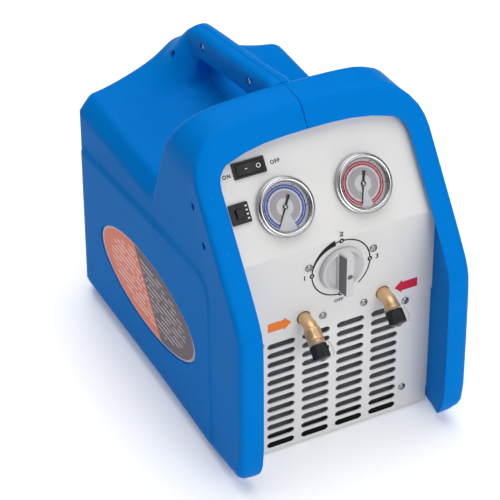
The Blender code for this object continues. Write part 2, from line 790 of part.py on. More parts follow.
def grip_cutter():
    """The finger opening through the handle, with its upper edge parallel to the bar."""
    def roof(y):
        return handle_top_z(FRONT_Y + y) - HANDLE_THICKNESS
    floor = BODY_TOP_Z + 0.0018
    corners = [(GRIP_START, floor), (GRIP_END, floor), (GRIP_END, roof(GRIP_END))]
    corners.append((GRIP_START, roof(GRIP_START)))
    outline = []
    for index, corner in enumerate(corners):
        before = Vector(corners[index - 1])
        here = Vector(corner)
        after = Vector(corners[(index + 1) % 4])
        start = here + (before - here).normalized() * GRIP_RADIUS
        end = here + (after - here).normalized() * GRIP_RADIUS
        for step in range(5):
            part = step / 4
            point = start * (1 - part) ** 2 + here * 2 * part * (1 - part) + end * part**2
            outline.append((FRONT_Y + point.x, point.y))
    return prism("grip", outline, -0.05, 0.05, None, "X")


def handle_screw_places():
    """Where the three handle screws enter the left shell: (head x, y, z)."""
    front = FRONT_Y + GRIP_START + 0.002
    rear = FRONT_Y + GRIP_END - 0.011
    places = [(-HANDLE_HALF_WIDTH + 0.004, y, handle_top_z(y) - HANDLE_THICKNESS / 2) for y in (front, rear)]
    hump = FRONT_Y + GRIP_END + HUMP_SCREW_BACK
    return places + [(-HANDLE_HALF_WIDTH - 0.004, hump, BODY_TOP_Z + HUMP_SCREW_UP)]


def flank_hole_places():
    """The two screw holes behind the rim on each side, (y, z)."""
    return [(front_y(z) + 0.034, z) for z in (0.286, 0.255)]


def lip_y(z):
    """Where the opening's edge meets the panel: the control panel above, the grille panel below."""
    if z > PANEL_BOTTOM_Z - 0.001:
        return panel_front_y(z) - FIT
    return PANEL_Y + PANEL_THICKNESS


def housing():
    """The whole hollow housing, before it is split into its two halves."""
    body = rings_solid("housing", body_rings(0.0), None, True)
    for side in (-1, 1):
        combine(body, side_field(side), "UNION")
    cavity = rings_solid("cavity", body_rings(WALL), None, True)
    plug = opening_rings(WALL, ((0.0, lambda z: front_y(z) - 0.03), (1.0, lip_y)))
    combine(cavity, rings_solid("plug", plug, None, True))
    combine(body, cavity)
    through = opening_rings(0.0, (
        (0.0, lambda z: front_y(z) - 0.03),
        (0.0, front_y),
        (1.0, lip_y),
        (1.0, lambda z: panel_front_y(z) + 0.006),
    ))
    combine(body, rings_solid("opening", through, None, True))
    low, high = FRONT_Y + PANEL_DEPTH + 0.004, BACK_Y - 0.016
    half = BASE_OPENING_HALF_WIDTH
    combine(body, box("floor_opening", (-half, low, -0.01), (half, high, BASE_Z + WALL + 0.001)))
    middle = (REAR_OPENING_LOW + REAR_OPENING_HIGH) / 2
    outline = rounded_box(2 * REAR_OPENING_HALF_WIDTH, REAR_OPENING_HIGH - REAR_OPENING_LOW,
                          REAR_OPENING_RADIUS, 3, (0, middle))
    combine(body, prism("rear_opening", outline, BACK_Y - 0.01, BACK_Y + 0.01, None, "Y"))
    combine(body, grip_cutter())
    for side in (-1, 1):
        combine(body, oval_cutter(side))
    return body


def pocket(name, radius, reach, place_x, y, z, side=-1):
    """A round cutter along X that opens towards one side."""
    cutter = rod(name, radius, 0, reach, COARSE)
    turn = Matrix.Rotation(math.radians(90 * side), 4, "Y")
    return place(cutter, Matrix.Translation((place_x, y, z)) @ turn)


def shells(look):
    """The left and right half shells, with the handle screws' pockets and holes."""
    left = housing()
    left.name = "left_shell"
    right = bpy.data.objects.new("right_shell", left.data.copy())
    bpy.context.scene.collection.objects.link(right)
    big = 2 * DEPTH
    combine(left, box("other_half", (-SEAM / 2, -big, -big), (big, big, big)))
    combine(right, box("other_half", (-big, -big, -big), (SEAM / 2, big, big)))
    for x, y, z in handle_screw_places():
        combine(left, pocket("head_pocket", SCREW_POCKET_RADIUS, 0.05, x, y, z))
        combine(left, pocket("shank_hole", SCREW_SHANK_RADIUS + FIT, 0.05, 0.01, y, z))
        hole = x + HANDLE_SCREW_LENGTH + 2 * FIT
        combine(right, pocket("shank_hole", SCREW_SHANK_RADIUS + FIT, hole + 0.01, hole, y, z))
    for y, z in flank_hole_places():
        for shell, side in ((left, -1), (right, 1)):
            place_x = side * (BODY_HALF_WIDTH - 2 * WALL)
            combine(shell, pocket("flank_hole", FLANK_HOLE_RADIUS, 0.04, place_x, y, z, side))
    for shell in (left, right):
        shell.data.materials.clear()
        shell.data.materials.append(look)
        smooth(shell, 28)


# Panels
def panel_profile(low, high):
    """The creased section, front face then back face, as (y, z) points."""
    middle = (PANEL_Y + CREASE_RADIUS, CREASE_Z + CREASE_RADIUS * math.tan(LEAN / 2) * -1)
    turns = [LEAN * step / 4 for step in range(5)]
    outer, inner = CREASE_RADIUS, CREASE_RADIUS - PANEL_THICKNESS
    front = [(middle[0] - outer * math.cos(a), middle[1] + outer * math.sin(a)) for a in turns]
    back = [(middle[0] - inner * math.cos(a), middle[1] + inner * math.sin(a)) for a in turns]
    top_front = (panel_front_y(PANEL_TOP_Z), PANEL_TOP_Z)
    step = (PANEL_THICKNESS * math.cos(LEAN), -PANEL_THICKNESS * math.sin(LEAN))
    top_back = (top_front[0] + step[0], top_front[1] + step[1])
    outline = [(PANEL_Y, low)] + front + [top_front, top_back] + back[::-1]
    return outline + [(PANEL_Y + PANEL_THICKNESS, low)]


def manifold_screw_places():
    """(name, x, z) of the screws that hold the manifold to the control panel."""
    ports_middle = (INLET_X + OUTLET_X) / 2
    return [
        ("manifold_screw_upper_left", KNOB_X - UPPER_SCREW_SPACING / 2, UPPER_SCREW_Z),
        ("manifold_screw_upper_right", KNOB_X + UPPER_SCREW_SPACING / 2, UPPER_SCREW_Z),
        ("manifold_screw_lower_left", ports_middle - LOWER_SCREW_SPACING / 2, LOWER_SCREW_Z),
        ("manifold_screw_lower_right", ports_middle + LOWER_SCREW_SPACING / 2, LOWER_SCREW_Z),
    ]


def control_panel(look):
    panel = prism("control_panel", panel_profile(PANEL_BOTTOM_Z, PANEL_TOP_Z),
                  -PANEL_HALF_WIDTH, PANEL_HALF_WIDTH, look, "X")
    half = shrink(hoop_half(BODY_HALF_WIDTH), WALL + 0.001)
    outline = half + [(-x, z) for x, z in reversed(half)]
    combine(panel, prism("outline", outline, FRONT_Y, 0.0, None, "Y"), "INTERSECT")
    deep, proud = -0.01, 0.01
    gauge_frames = [leaning_frame(side * GAUGE_SPACING / 2, GAUGE_UP) for side in (-1, 1)]
    holes = [(GAUGE_CASE_RADIUS + FIT, frame, FINE) for frame in gauge_frames]
    holes.append((VALVE_STEM_RADIUS + 0.0015, upright_frame(KNOB_X, KNOB_Z), COARSE))
    holes += [(PORT_HOLE_RADIUS, upright_frame(x, PORT_Z), MEDIUM) for x in (INLET_X, OUTLET_X)]
    for _, x, z in manifold_screw_places():
        holes.append((SCREW_SHANK_RADIUS + FIT, upright_frame(x, z), COARSE))
    for radius, frame, segments in holes:
        combine(panel, place(rod("hole", radius, deep, proud, segments), frame))
    length, height = rocker_body_size()
    cut = rounded_box(length + 2 * FIT, height + 2 * FIT, 0.001, 1)
    combine(panel, place(prism("hole", cut, deep, proud), leaning_frame(ROCKER_X, ROCKER_UP)))
    cut = rounded_box(BREAKER_BODY_SIZE + 2 * FIT, BREAKER_BODY_SIZE + 2 * FIT, 0.001, 1)
    combine(panel, place(prism("hole", cut, deep, proud), leaning_frame(BREAKER_X, BREAKER_UP)))
    return panel


def grille_y():
    """Front and back of the grille panel, which laps behind the control panel."""
    front = PANEL_Y + PANEL_THICKNESS + FIT
    return front, front + PANEL_THICKNESS


def grille_screw_places():
    places = []
    for side, word in ((-1, "left"), (1, "right")):
        places.append(("grille_screw_upper_" + word, side * GRILLE_SCREW_X, GRILLE_SCREW_HIGH_Z))
        places.append(("grille_screw_lower_" + word, side * GRILLE_SCREW_X, GRILLE_SCREW_LOW_Z))
    return places


def many_cutters(name, outlines, low, high):
    """One cutter from several outlines that don't meet, extruded along Y."""
    mesh_data = bmesh.new()
    for outline in outlines:
        ends = [[mesh_data.verts.new((x, along, z)) for x, z in outline] for along in (low, high)]
        count = len(outline)
        for index in range(count):
            after = (index + 1) % count
            mesh_data.faces.new((ends[0][index], ends[0][after], ends[1][after], ends[1][index]))
        mesh_data.faces.new(ends[0])
        mesh_data.faces.new(ends[1])
    return finish(name, mesh_data, None)


def grille_panel(look):
    front, back = grille_y()
    half = PANEL_HALF_WIDTH - 0.001
    narrow = OPENING_HALF_WIDTH + OPENING_DRAFT - 0.0005
    step = BASE_Z + WALL + EDGE_RADIUS
    right = [(narrow, GRILLE_LOW_Z), (narrow, step), (half, step + 0.003)]
    right.append((half, PANEL_BOTTOM_Z + GRILLE_OVERLAP))
    outline = right + [(-x, z) for x, z in reversed(right)]
    panel = prism("grille_panel", outline, front, back, look, "Y")
    slots = []
    for column in range(GRILLE_COLUMNS):
        x = (column - (GRILLE_COLUMNS - 1) / 2) * SLOT_PITCH_X
        for row in range(GRILLE_ROWS):
            centre = (x, TOP_SLOT_Z - row * SLOT_PITCH_Z)
            slots.append(slot_outline(SLOT_LENGTH, SLOT_HEIGHT, centre))
    combine(panel, many_cutters("slots", slots, front - 0.01, back + 0.01))
    holes = [slot_outline(0.0043, 0.0042, (x, z)) for _, x, z in grille_screw_places()]
    return combine(panel, many_cutters("screw_holes", holes, front - 0.01, back + 0.01))


# Gauges
def gauge(word, side, tip_angle, looks):
    frame = holder(word + "_gauge_frame", leaning_frame(side * GAUGE_SPACING / 2, GAUGE_UP))
    inner = GAUGE_CASE_RADIUS - GAUGE_WALL
    floor = 0.0007
    flange = GAUGE_CASE_RADIUS + 0.0022
    flange_top = FIT + 0.0012
    mouth = BEZEL_HEIGHT - 0.0025
    profile = [
        (0, floor), (inner, floor), (inner, mouth), (GAUGE_CASE_RADIUS, mouth),
        (GAUGE_CASE_RADIUS, flange_top), (flange, flange_top), (flange, FIT), (GAUGE_CASE_RADIUS, FIT),
        (GAUGE_CASE_RADIUS, -GAUGE_CASE_DEPTH), (STEM_RADIUS, -GAUGE_CASE_DEPTH),
        (STEM_RADIUS, -GAUGE_CASE_DEPTH - STEM_LENGTH), (0, -GAUGE_CASE_DEPTH - STEM_LENGTH),
    ]
    hang(turned(word + "_gauge_case", profile, FINE, looks["steel"]), frame)
    bore = GAUGE_CASE_RADIUS + FIT
    lip = inner - 0.0012
    foot = flange_top + FIT
    profile = [
        (bore, foot), (BEZEL_RADIUS - 0.0008, foot), (BEZEL_RADIUS, foot + 0.001),
        (BEZEL_RADIUS, BEZEL_HEIGHT - 0.0028), (BEZEL_RADIUS - 0.0013, BEZEL_HEIGHT - 0.0006),
        (BEZEL_RADIUS - 0.003, BEZEL_HEIGHT), (lip, BEZEL_HEIGHT - 0.0014), (lip, mouth + FIT),
        (bore, mouth + FIT),
    ]
    hang(turned(word + "_gauge_bezel", profile, FINE, looks["chrome"]), frame)
    disc = inner - FIT
    dial_back = floor + FIT
    dial_front = dial_back + DIAL_THICKNESS
    hang(rod(word + "_gauge_dial", disc, dial_back, dial_front, FINE, looks["dial"]), frame)
    lens_top = mouth - 0.0001
    lens = rod(word + "_gauge_lens", disc, lens_top - LENS_THICKNESS, lens_top, FINE, looks["glass"])
    hang(lens, frame)
    needle(word + "_gauge_needle", dial_front + FIT, tip_angle, looks["black"], frame)


def needle(name, low, tip_angle, look, frame):
    """A pointer with a round tail, at rest turned clockwise from straight down by its angle."""
    blade_low = low + 0.0007
    tail = arc((0, NEEDLE_TAIL - 0.0016), 0.0016, -50, 230, 6)
    outline = [(-0.0007, 0.0), (-0.0002, -NEEDLE_LENGTH), (0.0002, -NEEDLE_LENGTH), (0.0007, 0.0)] + tail
    pointer = prism(name, outline, blade_low, blade_low + NEEDLE_THICKNESS, look)
    hub = rod("hub", 0.0022, low, blade_low + NEEDLE_THICKNESS + 0.0003, COARSE, look)
    combine(pointer, hub, "UNION")
    return hang(pointer, frame, Matrix.Rotation(-tip_angle, 4, "Z"))


# Rocker switch
def rocker_body_size():
    """The size of the switch's body through the panel."""
    return ROCKER_FRAME_LENGTH - 0.003, ROCKER_FRAME_HEIGHT - 0.002


def rocker_switch(looks):
    frame = holder("rocker_frame", leaning_frame(ROCKER_X, ROCKER_UP))
    flange = rounded_box(ROCKER_FRAME_LENGTH, ROCKER_FRAME_HEIGHT, 0.001, 2)
    body_length, body_height = rocker_body_size()
    body = prism("rocker_housing", flange, FIT, 0.0019, looks["black"])
    behind = rounded_box(body_length, body_height, 0.0006, 1)
    combine(body, prism("behind", behind, -ROCKER_BODY_DEPTH, 0.001), "UNION")
    for x in (-0.010, 0.0, 0.010):
        blade = rounded_box(0.0008, 0.0048, 0.0003, 1, (x, 0))
        foot = -ROCKER_BODY_DEPTH
        combine(body, prism("blade", blade, foot - 0.007, foot + 0.001), "UNION")
    cavity = rounded_box(ROCKER_LENGTH + 0.0020, ROCKER_HEIGHT + 0.0008, 0.0004, 1)
    combine(body, prism("cavity", cavity, -ROCKER_CAVITY_DEPTH, 0.01))
    hang(body, frame)
    half = ROCKER_LENGTH / 2
    outline = [(-half, 0.0036), (-half, -0.0016), (-0.004, -0.0062), (0.004, -0.0062), (half, -0.0016),
               (half, 0.0036), (half * 0.5, 0.0022), (0.0, 0.0016), (-half * 0.5, 0.0022)]
    top = prism("rocker", outline, -ROCKER_HEIGHT / 2, ROCKER_HEIGHT / 2, looks["black"], "Y")
    hang(top, frame, Matrix.Rotation(-ROCKER_TILT, 4, "Y"))


# Circuit breaker
def breaker(looks):
    frame = holder("breaker_frame", leaning_frame(BREAKER_X, BREAKER_UP))
    flange = rounded_box(BREAKER_SIZE, BREAKER_SIZE, 0.0012, 2)
    body = prism("breaker_body", flange, FIT, 0.0022, looks["black"])
    behind = rounded_box(BREAKER_BODY_SIZE, BREAKER_BODY_SIZE, 0.0006, 1)
    combine(body, prism("behind", behind, -BREAKER_BODY_DEPTH, 0.001), "UNION")
    for x in (-0.004, 0.004):
        blade = rounded_box(0.0063, 0.0008, 0.0003, 1, (x, x))
        foot = -BREAKER_BODY_DEPTH
        combine(body, prism("blade", blade, foot - 0.008, foot + 0.001), "UNION")
    size = BREAKER_BUTTON_SIZE + 2 * FIT
    combine(body, prism("cavity", rounded_box(size, size, 0.0010, 2), -0.008, 0.01))
    hang(body, frame)
    outline = rounded_box(BREAKER_BUTTON_SIZE, BREAKER_BUTTON_SIZE, 0.0010, 2)
    top = 0.0022 + BREAKER_BUTTON_PROUD
    rings = [[(x, y, -0.008 + FIT) for x, y in outline], [(x, y, top - 0.0006) for x, y in outline]]
    rings.append([(x, y, top) for x, y in inset(outline, 0.0006, True)])
    hang(rings_solid("breaker_button", rings, looks["black"]), frame)


# Knob and manifold
def selector_knob(looks):
    frame = holder("knob_axis", upright_frame(KNOB_X, KNOB_Z))
    face = KNOB_GAP + KNOB_SKIRT
    profile = [(0, KNOB_GAP), (KNOB_RADIUS - 0.0006, KNOB_GAP), (KNOB_RADIUS, KNOB_GAP + 0.0006)]
    profile += [(KNOB_RADIUS - 0.0008, face - 0.001), (KNOB_RADIUS - 0.002, face), (0, face)]
    knob = turned("selector_knob", profile, FINE, looks["knob"])
    for side in (-1, 1):
        combine(knob, knob_scoop(side, face))
    half, cut = KNOB_GRIP_WIDTH / 2, 0.0014
    up, down = KNOB_GRIP_UP, -KNOB_POINTER
    outline = [(half, down + cut), (half, up - cut), (half - cut, up), (cut - half, up)]
    outline += [(-half, up - cut), (-half, down + cut), (cut - half, down), (half - cut, down)]
    crown = face + KNOB_GRIP_HEIGHT
    rings = []
    levels = ((KNOB_GAP + 0.0013, 1.0, 0.0), (crown - 0.0012, 0.76, 0.92), (crown, 0.64, 0.8))
    for z, narrow, flare in levels:
        grow = KNOB_GRIP_FLARE * flare
        rings.append([(x * narrow, y + (grow if y > 0 else 0.0), z) for x, y in outline])
    combine(knob, rings_solid("grip", rings, None), "UNION")
    combine(knob, rod("bore", VALVE_STEM_RADIUS + FIT, -0.01, KNOB_BORE_DEPTH, COARSE))
    floor = crown - KNOB_SCREW_DEPTH
    combine(knob, rod("screw_hole", KNOB_SCREW_RADIUS + FIT, floor, crown + 0.01, COARSE))
    smooth(knob, 30)
    hang(knob, frame)
    screw = rod("knob_screw", KNOB_SCREW_RADIUS, floor + FIT, crown - 0.0012, COARSE, looks["steel"])
    hang(screw, frame)
    foot = -PANEL_THICKNESS - BLOCK_DEPTH * 0.5
    stem = rod("valve_stem", VALVE_STEM_RADIUS, foot, KNOB_BORE_DEPTH - FIT, COARSE, looks["steel"])
    hang(stem, frame)


def knob_scoop(side, face):
    """A cutter for the hollow beside the grip: a half moon whose floor falls towards the grip."""
    chord = KNOB_GRIP_WIDTH / 2 + 0.0009
    reach = KNOB_RADIUS - KNOB_RIM
    start = math.degrees(math.acos(chord / reach))
    outline = [(side * x, y) for x, y in arc((0, 0), reach, -start, start, 10)]
    floor = [(side * (chord + (abs(x) - chord) * 0.55), y * 0.9) for x, y in outline]
    low, high = face - KNOB_SCOOP_DEPTH, face + 0.0005
    rings = [[(x, y, low) for x, y in floor], [(x, y, high) for x, y in outline]]
    return rings_solid("scoop", rings, None)


def block_span():
    """Front and back of the manifold block."""
    front = PANEL_Y + PANEL_THICKNESS + FIT
    return front, front + BLOCK_DEPTH


def block_bottom():
    return PANEL_BOTTOM_Z + GRILLE_OVERLAP + FIT


def valve_block(looks):
    front, back = block_span()
    low = block_bottom()
    width, height = BLOCK_RIGHT - BLOCK_LEFT, BLOCK_TOP - low
    centre = ((BLOCK_LEFT + BLOCK_RIGHT) / 2, (BLOCK_TOP + low) / 2)
    outline = rounded_box(width, height, 0.004, 2, centre)
    block = prism("valve_block", outline, front, back, looks["aluminium"], "Y")
    boss = rod("boss", 0.015, -BLOCK_DEPTH - 0.010, -BLOCK_DEPTH * 0.5)
    combine(block, place(boss, upright_frame(KNOB_X, KNOB_Z)), "UNION")
    depth = PANEL_THICKNESS + FIT
    for x in (INLET_X, OUTLET_X):
        hole = rod("socket", PORT_NECK_RADIUS + FIT, -depth - PORT_SOCKET_DEPTH - FIT, 0.01, MEDIUM)
        combine(block, place(hole, upright_frame(x, PORT_Z)))
    foot = -PANEL_THICKNESS - BLOCK_DEPTH * 0.5 - FIT
    hole = rod("stem_hole", VALVE_STEM_RADIUS + FIT, foot, 0.01, COARSE)
    combine(block, place(hole, upright_frame(KNOB_X, KNOB_Z)))
    for _, x, z in manifold_screw_places():
        hole = rod("hole", SCREW_SHANK_RADIUS + FIT, -PANEL_SCREW_LENGTH - 2 * FIT, 0.01, COARSE)
        combine(block, place(hole, upright_frame(x, z)))
    return block


# Ports
def port_path(x, reach, leg):
    """The flare elbow's stations, and the frame of its shoulder with z along the outlet."""
    inner = Vector((x, PANEL_Y + PANEL_THICKNESS + FIT + PORT_SOCKET_DEPTH, PORT_Z))
    out = Vector((0, -1, 0))
    down = Vector((0, -math.cos(PORT_BEND), -math.sin(PORT_BEND)))
    start = Vector((x, PANEL_Y - reach, PORT_Z))
    centre = start + Vector((0, 0, -PORT_BEND_RADIUS))
    stations = [(inner, out, PORT_NECK_RADIUS), (start, out, PORT_NECK_RADIUS)]
    for step in range(1, 5):
        turn = PORT_BEND * step / 4
        arm = Vector((0, -math.sin(turn), math.cos(turn))) * PORT_BEND_RADIUS
        way = Vector((0, -math.cos(turn), -math.sin(turn)))
        radius = PORT_NECK_RADIUS + (PORT_BODY_RADIUS - PORT_NECK_RADIUS) * step / 4 * 0.5
        stations.append((centre + arm, way, radius))
    bend_end = stations[-1][0]
    shoulder = bend_end + down * leg
    collar = min(0.0035, leg * 0.6)
    stations.append((shoulder - down * collar, down, stations[-1][2]))
    stations.append((shoulder - down * collar * 0.9, down, PORT_BODY_RADIUS))
    stations.append((shoulder, down, PORT_BODY_RADIUS))
    stations.append((shoulder, down, PORT_THREAD_RADIUS))
    tip = shoulder + down * PORT_THREAD_LENGTH
    stations.append((tip - down * 0.002, down, PORT_THREAD_RADIUS))
    stations.append((tip, down, PORT_THREAD_RADIUS - 0.002))
    turn = Matrix.Rotation(math.radians(90) + PORT_BEND, 4, "X")
    return stations, Matrix.Translation(shoulder) @ turn


def port(word, x, reach, leg, looks):
    stations, frame = port_path(x, reach, leg)
    fitting = sweep(word + "_fitting", stations, MEDIUM, looks["brass"])
    combine(fitting, place(rod("bore", PORT_BORE_RADIUS, -0.004, 0.03, COARSE), frame))
    inner = PORT_THREAD_RADIUS + FIT
    cap_foot = 2 * FIT + STRAP_THICKNESS
    top = cap_foot + CAP_LENGTH
    floor = top - CAP_END
    profile = [(0, floor), (inner, floor), (inner, cap_foot), (CAP_RADIUS - 0.0004, cap_foot)]
    profile.append((CAP_RADIUS, cap_foot + 0.0006))
    profile += [(CAP_RADIUS, top - 0.001), (CAP_RADIUS - 0.001, top), (0, top)]
    cap = turned(word + "_cap", profile, MEDIUM, looks["black"])
    axis = holder(word + "_cap_axis", frame)
    hang(cap, axis)
    hang(cap_strap(word + "_cap_strap", cap_foot, top, looks), axis)


def cap_strap(name, cap_foot, cap_top, looks):
    """A ring round the thread, a band that loops out past the cap's side, and a disc on its end."""
    outer = PORT_BODY_RADIUS + 0.0003
    inner = PORT_THREAD_RADIUS + 2 * FIT
    ring_top = cap_foot - FIT
    profile = [(inner, FIT), (outer, FIT), (outer, ring_top), (inner, ring_top)]
    strap = turned(name, profile, MEDIUM, looks["strap"])
    disc_low = cap_top + FIT
    disc = rod("disc", STRAP_DISC_RADIUS, disc_low, disc_low + STRAP_THICKNESS, MEDIUM)
    low = (FIT + ring_top) / 2
    high = disc_low + STRAP_THICKNESS / 2
    reach = CAP_RADIUS + STRAP_LOOP
    middle = (low + high) / 2
    path = [(outer - 0.0006, low), (outer + 0.002, low)]
    path += [(outer + 0.002 + (reach - outer - 0.002) * math.cos(math.radians(turn)),
              middle + (high - low) / 2 * math.sin(math.radians(turn))) for turn in (-66, -33, 0, 33, 66)]
    path += [(outer + 0.002, high), (STRAP_DISC_RADIUS - 0.0008, high)]
    rings = []
    for index, (x, z) in enumerate(path):
        before, after = path[max(index - 1, 0)], path[min(index + 1, len(path) - 1)]
        across = Vector((before[1] - after[1], after[0] - before[0])).normalized() * STRAP_THICKNESS * 0.42
        half = STRAP_WIDTH / 2
        corners = ((1, half), (1, -half), (-1, -half), (-1, half))
        rings.append([(x + side * across.x, y, z + side * across.y) for side, y in corners])
    band = rings_solid("band", rings, None)
    combine(strap, disc, "UNION")
    return combine(strap, band, "UNION")


# Screws
def pan_head_screw(name, length, frame, look):
    """Head on z = 0 with the shank below; placed with z out of the surface."""
    head = SCREW_HEAD_RADIUS
    height = SCREW_HEAD_HEIGHT
    profile = [(0, height), (head * 0.62, height * 0.86), (head, height * 0.35), (head, FIT)]
    profile += [(SCREW_SHANK_RADIUS, FIT), (SCREW_SHANK_RADIUS, -length), (0, -length)]
    return place(turned(name, profile, COARSE, look), frame)


def screws(look):
    for name, x, z in manifold_screw_places():
        pan_head_screw(name, PANEL_SCREW_LENGTH, upright_frame(x, z), look)
    lower = Matrix.Translation((0, PANEL_THICKNESS + FIT, 0))
    for name, x, z in grille_screw_places():
        pan_head_screw(name, COIL_GAP * 0.8, lower @ upright_frame(x, z), look)
    for name, (x, y, z) in zip(("front", "middle", "rear"), handle_screw_places()):
        frame = Matrix.Translation((x, y, z)) @ Matrix.Rotation(math.radians(-90), 4, "Y")
        pan_head_screw("handle_screw_" + name, HANDLE_SCREW_LENGTH, frame, look)


# Base and rear
def base_plate(looks):
    """A sheet tray with its long edges turned up, resting on the shells' bottom flanges."""
    low = BASE_Z + WALL + FIT
    half = BODY_HALF_WIDTH - EDGE_RADIUS - WALL - 0.001
    inner = half - SHEET
    rim, floor = low + BASE_FLANGE, low + SHEET
    outline = [(-half, low), (half, low), (half, rim), (inner, rim)]
    outline += [(inner, floor), (-inner, floor), (-inner, rim), (-half, rim)]
    start = grille_y()[1] + 0.005
    return prism("base_plate", outline, start, BACK_Y - WALL - SHEET - 0.003, looks["steel"], "Y")


def feet(looks):
    profile = [(0, 0), (FOOT_RADIUS - 0.001, 0), (FOOT_RADIUS, BASE_Z - FIT), (0, BASE_Z - FIT)]
    for side, across in ((-1, "left"), (1, "right")):
        for y, along in ((FOOT_FRONT_Y, "front"), (FOOT_REAR_Y, "rear")):
            foot = turned("foot_" + along + "_" + across, profile, MEDIUM, looks["rubber"])
            place(foot, Matrix.Translation((side * FOOT_X, FRONT_Y + y, 0)))


def rear_panel(looks):
    middle = (REAR_OPENING_LOW + REAR_OPENING_HIGH) / 2
    height = REAR_OPENING_HIGH - REAR_OPENING_LOW + 2 * REAR_LAP
    width = 2 * (REAR_OPENING_HALF_WIDTH + REAR_LAP)
    outline = rounded_box(width, height, REAR_OPENING_RADIUS, 3, (0, middle))
    back = BACK_Y - WALL - FIT
    panel = prism("rear_panel", outline, back - SHEET, back, looks["panel"], "Y")
    slots = []
    for side in (-1, 1):
        for row in range(VENT_ROWS):
            centre = (side * (VENT_LENGTH / 2 + 0.008), VENT_TOP_Z - row * VENT_PITCH)
            slots.append(slot_outline(VENT_LENGTH, VENT_HEIGHT, centre))
    width, tall = SOCKET_BODY_WIDTH + 2 * FIT, SOCKET_BODY_HEIGHT + 2 * FIT
    slots.append(rounded_box(width, tall, 0.002, 2, (INLET_SOCKET_X, INLET_SOCKET_Z)))
    return combine(panel, many_cutters("vents", slots, back - 0.01, back + 0.01))


def power_inlet(looks):
    """A flanged three-pin appliance inlet that opens to the rear."""
    centre = (INLET_SOCKET_X, INLET_SOCKET_Z)
    face = BACK_Y - WALL
    flange = rounded_box(SOCKET_FLANGE_WIDTH, SOCKET_FLANGE_HEIGHT, 0.004, 2, centre)
    body = prism("power_inlet", flange, face, face + 0.0025, looks["black"], "Y")
    shell = rounded_box(SOCKET_BODY_WIDTH, SOCKET_BODY_HEIGHT, 0.002, 2, centre)
    combine(body, prism("shell", shell, face - SOCKET_BODY_DEPTH, face + 0.001, None, "Y"), "UNION")
    width, height = SOCKET_BODY_WIDTH - 2 * SOCKET_WALL, SOCKET_BODY_HEIGHT - 2 * SOCKET_WALL
    hollow = rounded_box(width, height, 0.0015, 2, centre)
    combine(body, prism("hollow", hollow, face + 0.0025 - SOCKET_DEPTH, face + 0.01, None, "Y"))
    foot = face + 0.0025 - SOCKET_DEPTH
    for x, z in ((-0.007, -0.0015), (0.0, 0.0015), (0.007, -0.0015)):
        pin = rounded_box(0.002, 0.004, 0.0005, 1, (centre[0] + x, centre[1] + z))
        combine(body, prism("pin", pin, foot - 0.001, foot + SOCKET_PIN_LENGTH, None, "Y"), "UNION")
    return body


# Condenser and fan
def base_top():
    return BASE_Z + WALL + FIT + SHEET


def coil_low():
    return base_top() + FIT


def coil_rows():
    """Heights of the coil's tube rows, lowest first."""
    return [coil_low() + COIL_HEIGHT * (index + 0.5) / COIL_ROWS for index in range(COIL_ROWS)]


def coil_span():
    front = grille_y()[1] + COIL_GAP
    return front, front + COIL_DEPTH


def fan_centre_z():
    return coil_low() + COIL_HEIGHT / 2


def condenser(looks):
    """A finned block between two tube plates, with its return bends."""
    front, back = coil_span()
    low = coil_low()
    high = low + COIL_HEIGHT
    coil = box("condenser_coil", (-COIL_HALF_WIDTH, front + 0.001, low + 0.001),
               (COIL_HALF_WIDTH, back - 0.001, high - 0.001), looks["aluminium"])
    for side in (-1, 1):
        edges = sorted((side * COIL_HALF_WIDTH - side * 0.0005, side * (COIL_HALF_WIDTH + COIL_PLATE)))
        combine(coil, box("plate", (edges[0], front, low), (edges[1], back, high)), "UNION")
    middle = (front + back) / 2
    plate = COIL_HALF_WIDTH + COIL_PLATE
    rows = coil_rows()
    for index in range(COIL_ROWS - 1):
        side = -1 if index % 2 == 0 else 1
        inside, outside = side * (plate - 0.001), side * (plate + 0.012)
        corners = [(inside, middle, rows[index]), (outside, middle, rows[index])]
        corners += [(outside, middle, rows[index + 1]), (inside, middle, rows[index + 1])]
        bend = bent_tube("bend", corners, COIL_TUBE_RADIUS, 0.009, looks["copper"])
        combine(coil, bend, "UNION")
    return coil


def shroud_span():
    """Front and back of the fan's shroud."""
    front = coil_span()[1] + FIT
    return front, front + SHROUD_LENGTH


def fan_middle_y():
    front, back = shroud_span()
    return front + FAN_HUB_LENGTH / 2 + 0.004


def fan_shroud(looks):
    """A square plate behind the coil with a round duct, and three arms that carry the motor."""
    front, back = shroud_span()
    z = fan_centre_z()
    duct = FAN_RADIUS + FAN_TIP_GAP
    outline = rounded_box(2 * COIL_HALF_WIDTH - 0.004, COIL_HEIGHT, 0.004, 2, (0, z))
    shroud = prism("fan_shroud", outline, front, front + SHROUD_WALL, looks["black"], "Y")
    turn = Matrix.Translation((0, front, z)) @ Matrix.Rotation(math.radians(-90), 4, "X")
    wall = duct + SHROUD_WALL
    combine(shroud, place(rod("ring", wall, SHROUD_WALL / 2, SHROUD_LENGTH, FINE), turn), "UNION")
    combine(shroud, place(rod("duct", duct, -0.01, SHROUD_LENGTH + 0.01, FINE), turn))
    seat = FAN_MOTOR_RADIUS + FIT
    mount = [(seat, SHROUD_LENGTH - 0.008), (seat + SHROUD_WALL, SHROUD_LENGTH - 0.008)]
    mount += [(seat + SHROUD_WALL, SHROUD_LENGTH), (seat, SHROUD_LENGTH)]
    combine(shroud, place(turned("mount", mount, FINE, None), turn), "UNION")
    for index in range(3):
        arm = box("arm", (seat + SHROUD_WALL * 0.4, -0.003, SHROUD_LENGTH - 0.006),
                  (duct + SHROUD_WALL * 0.6, 0.003, SHROUD_LENGTH - 0.001))
        around = Matrix.Rotation(math.radians(90 + 120 * index), 4, "Z")
        combine(shroud, place(arm, turn @ around), "UNION")
    return shroud


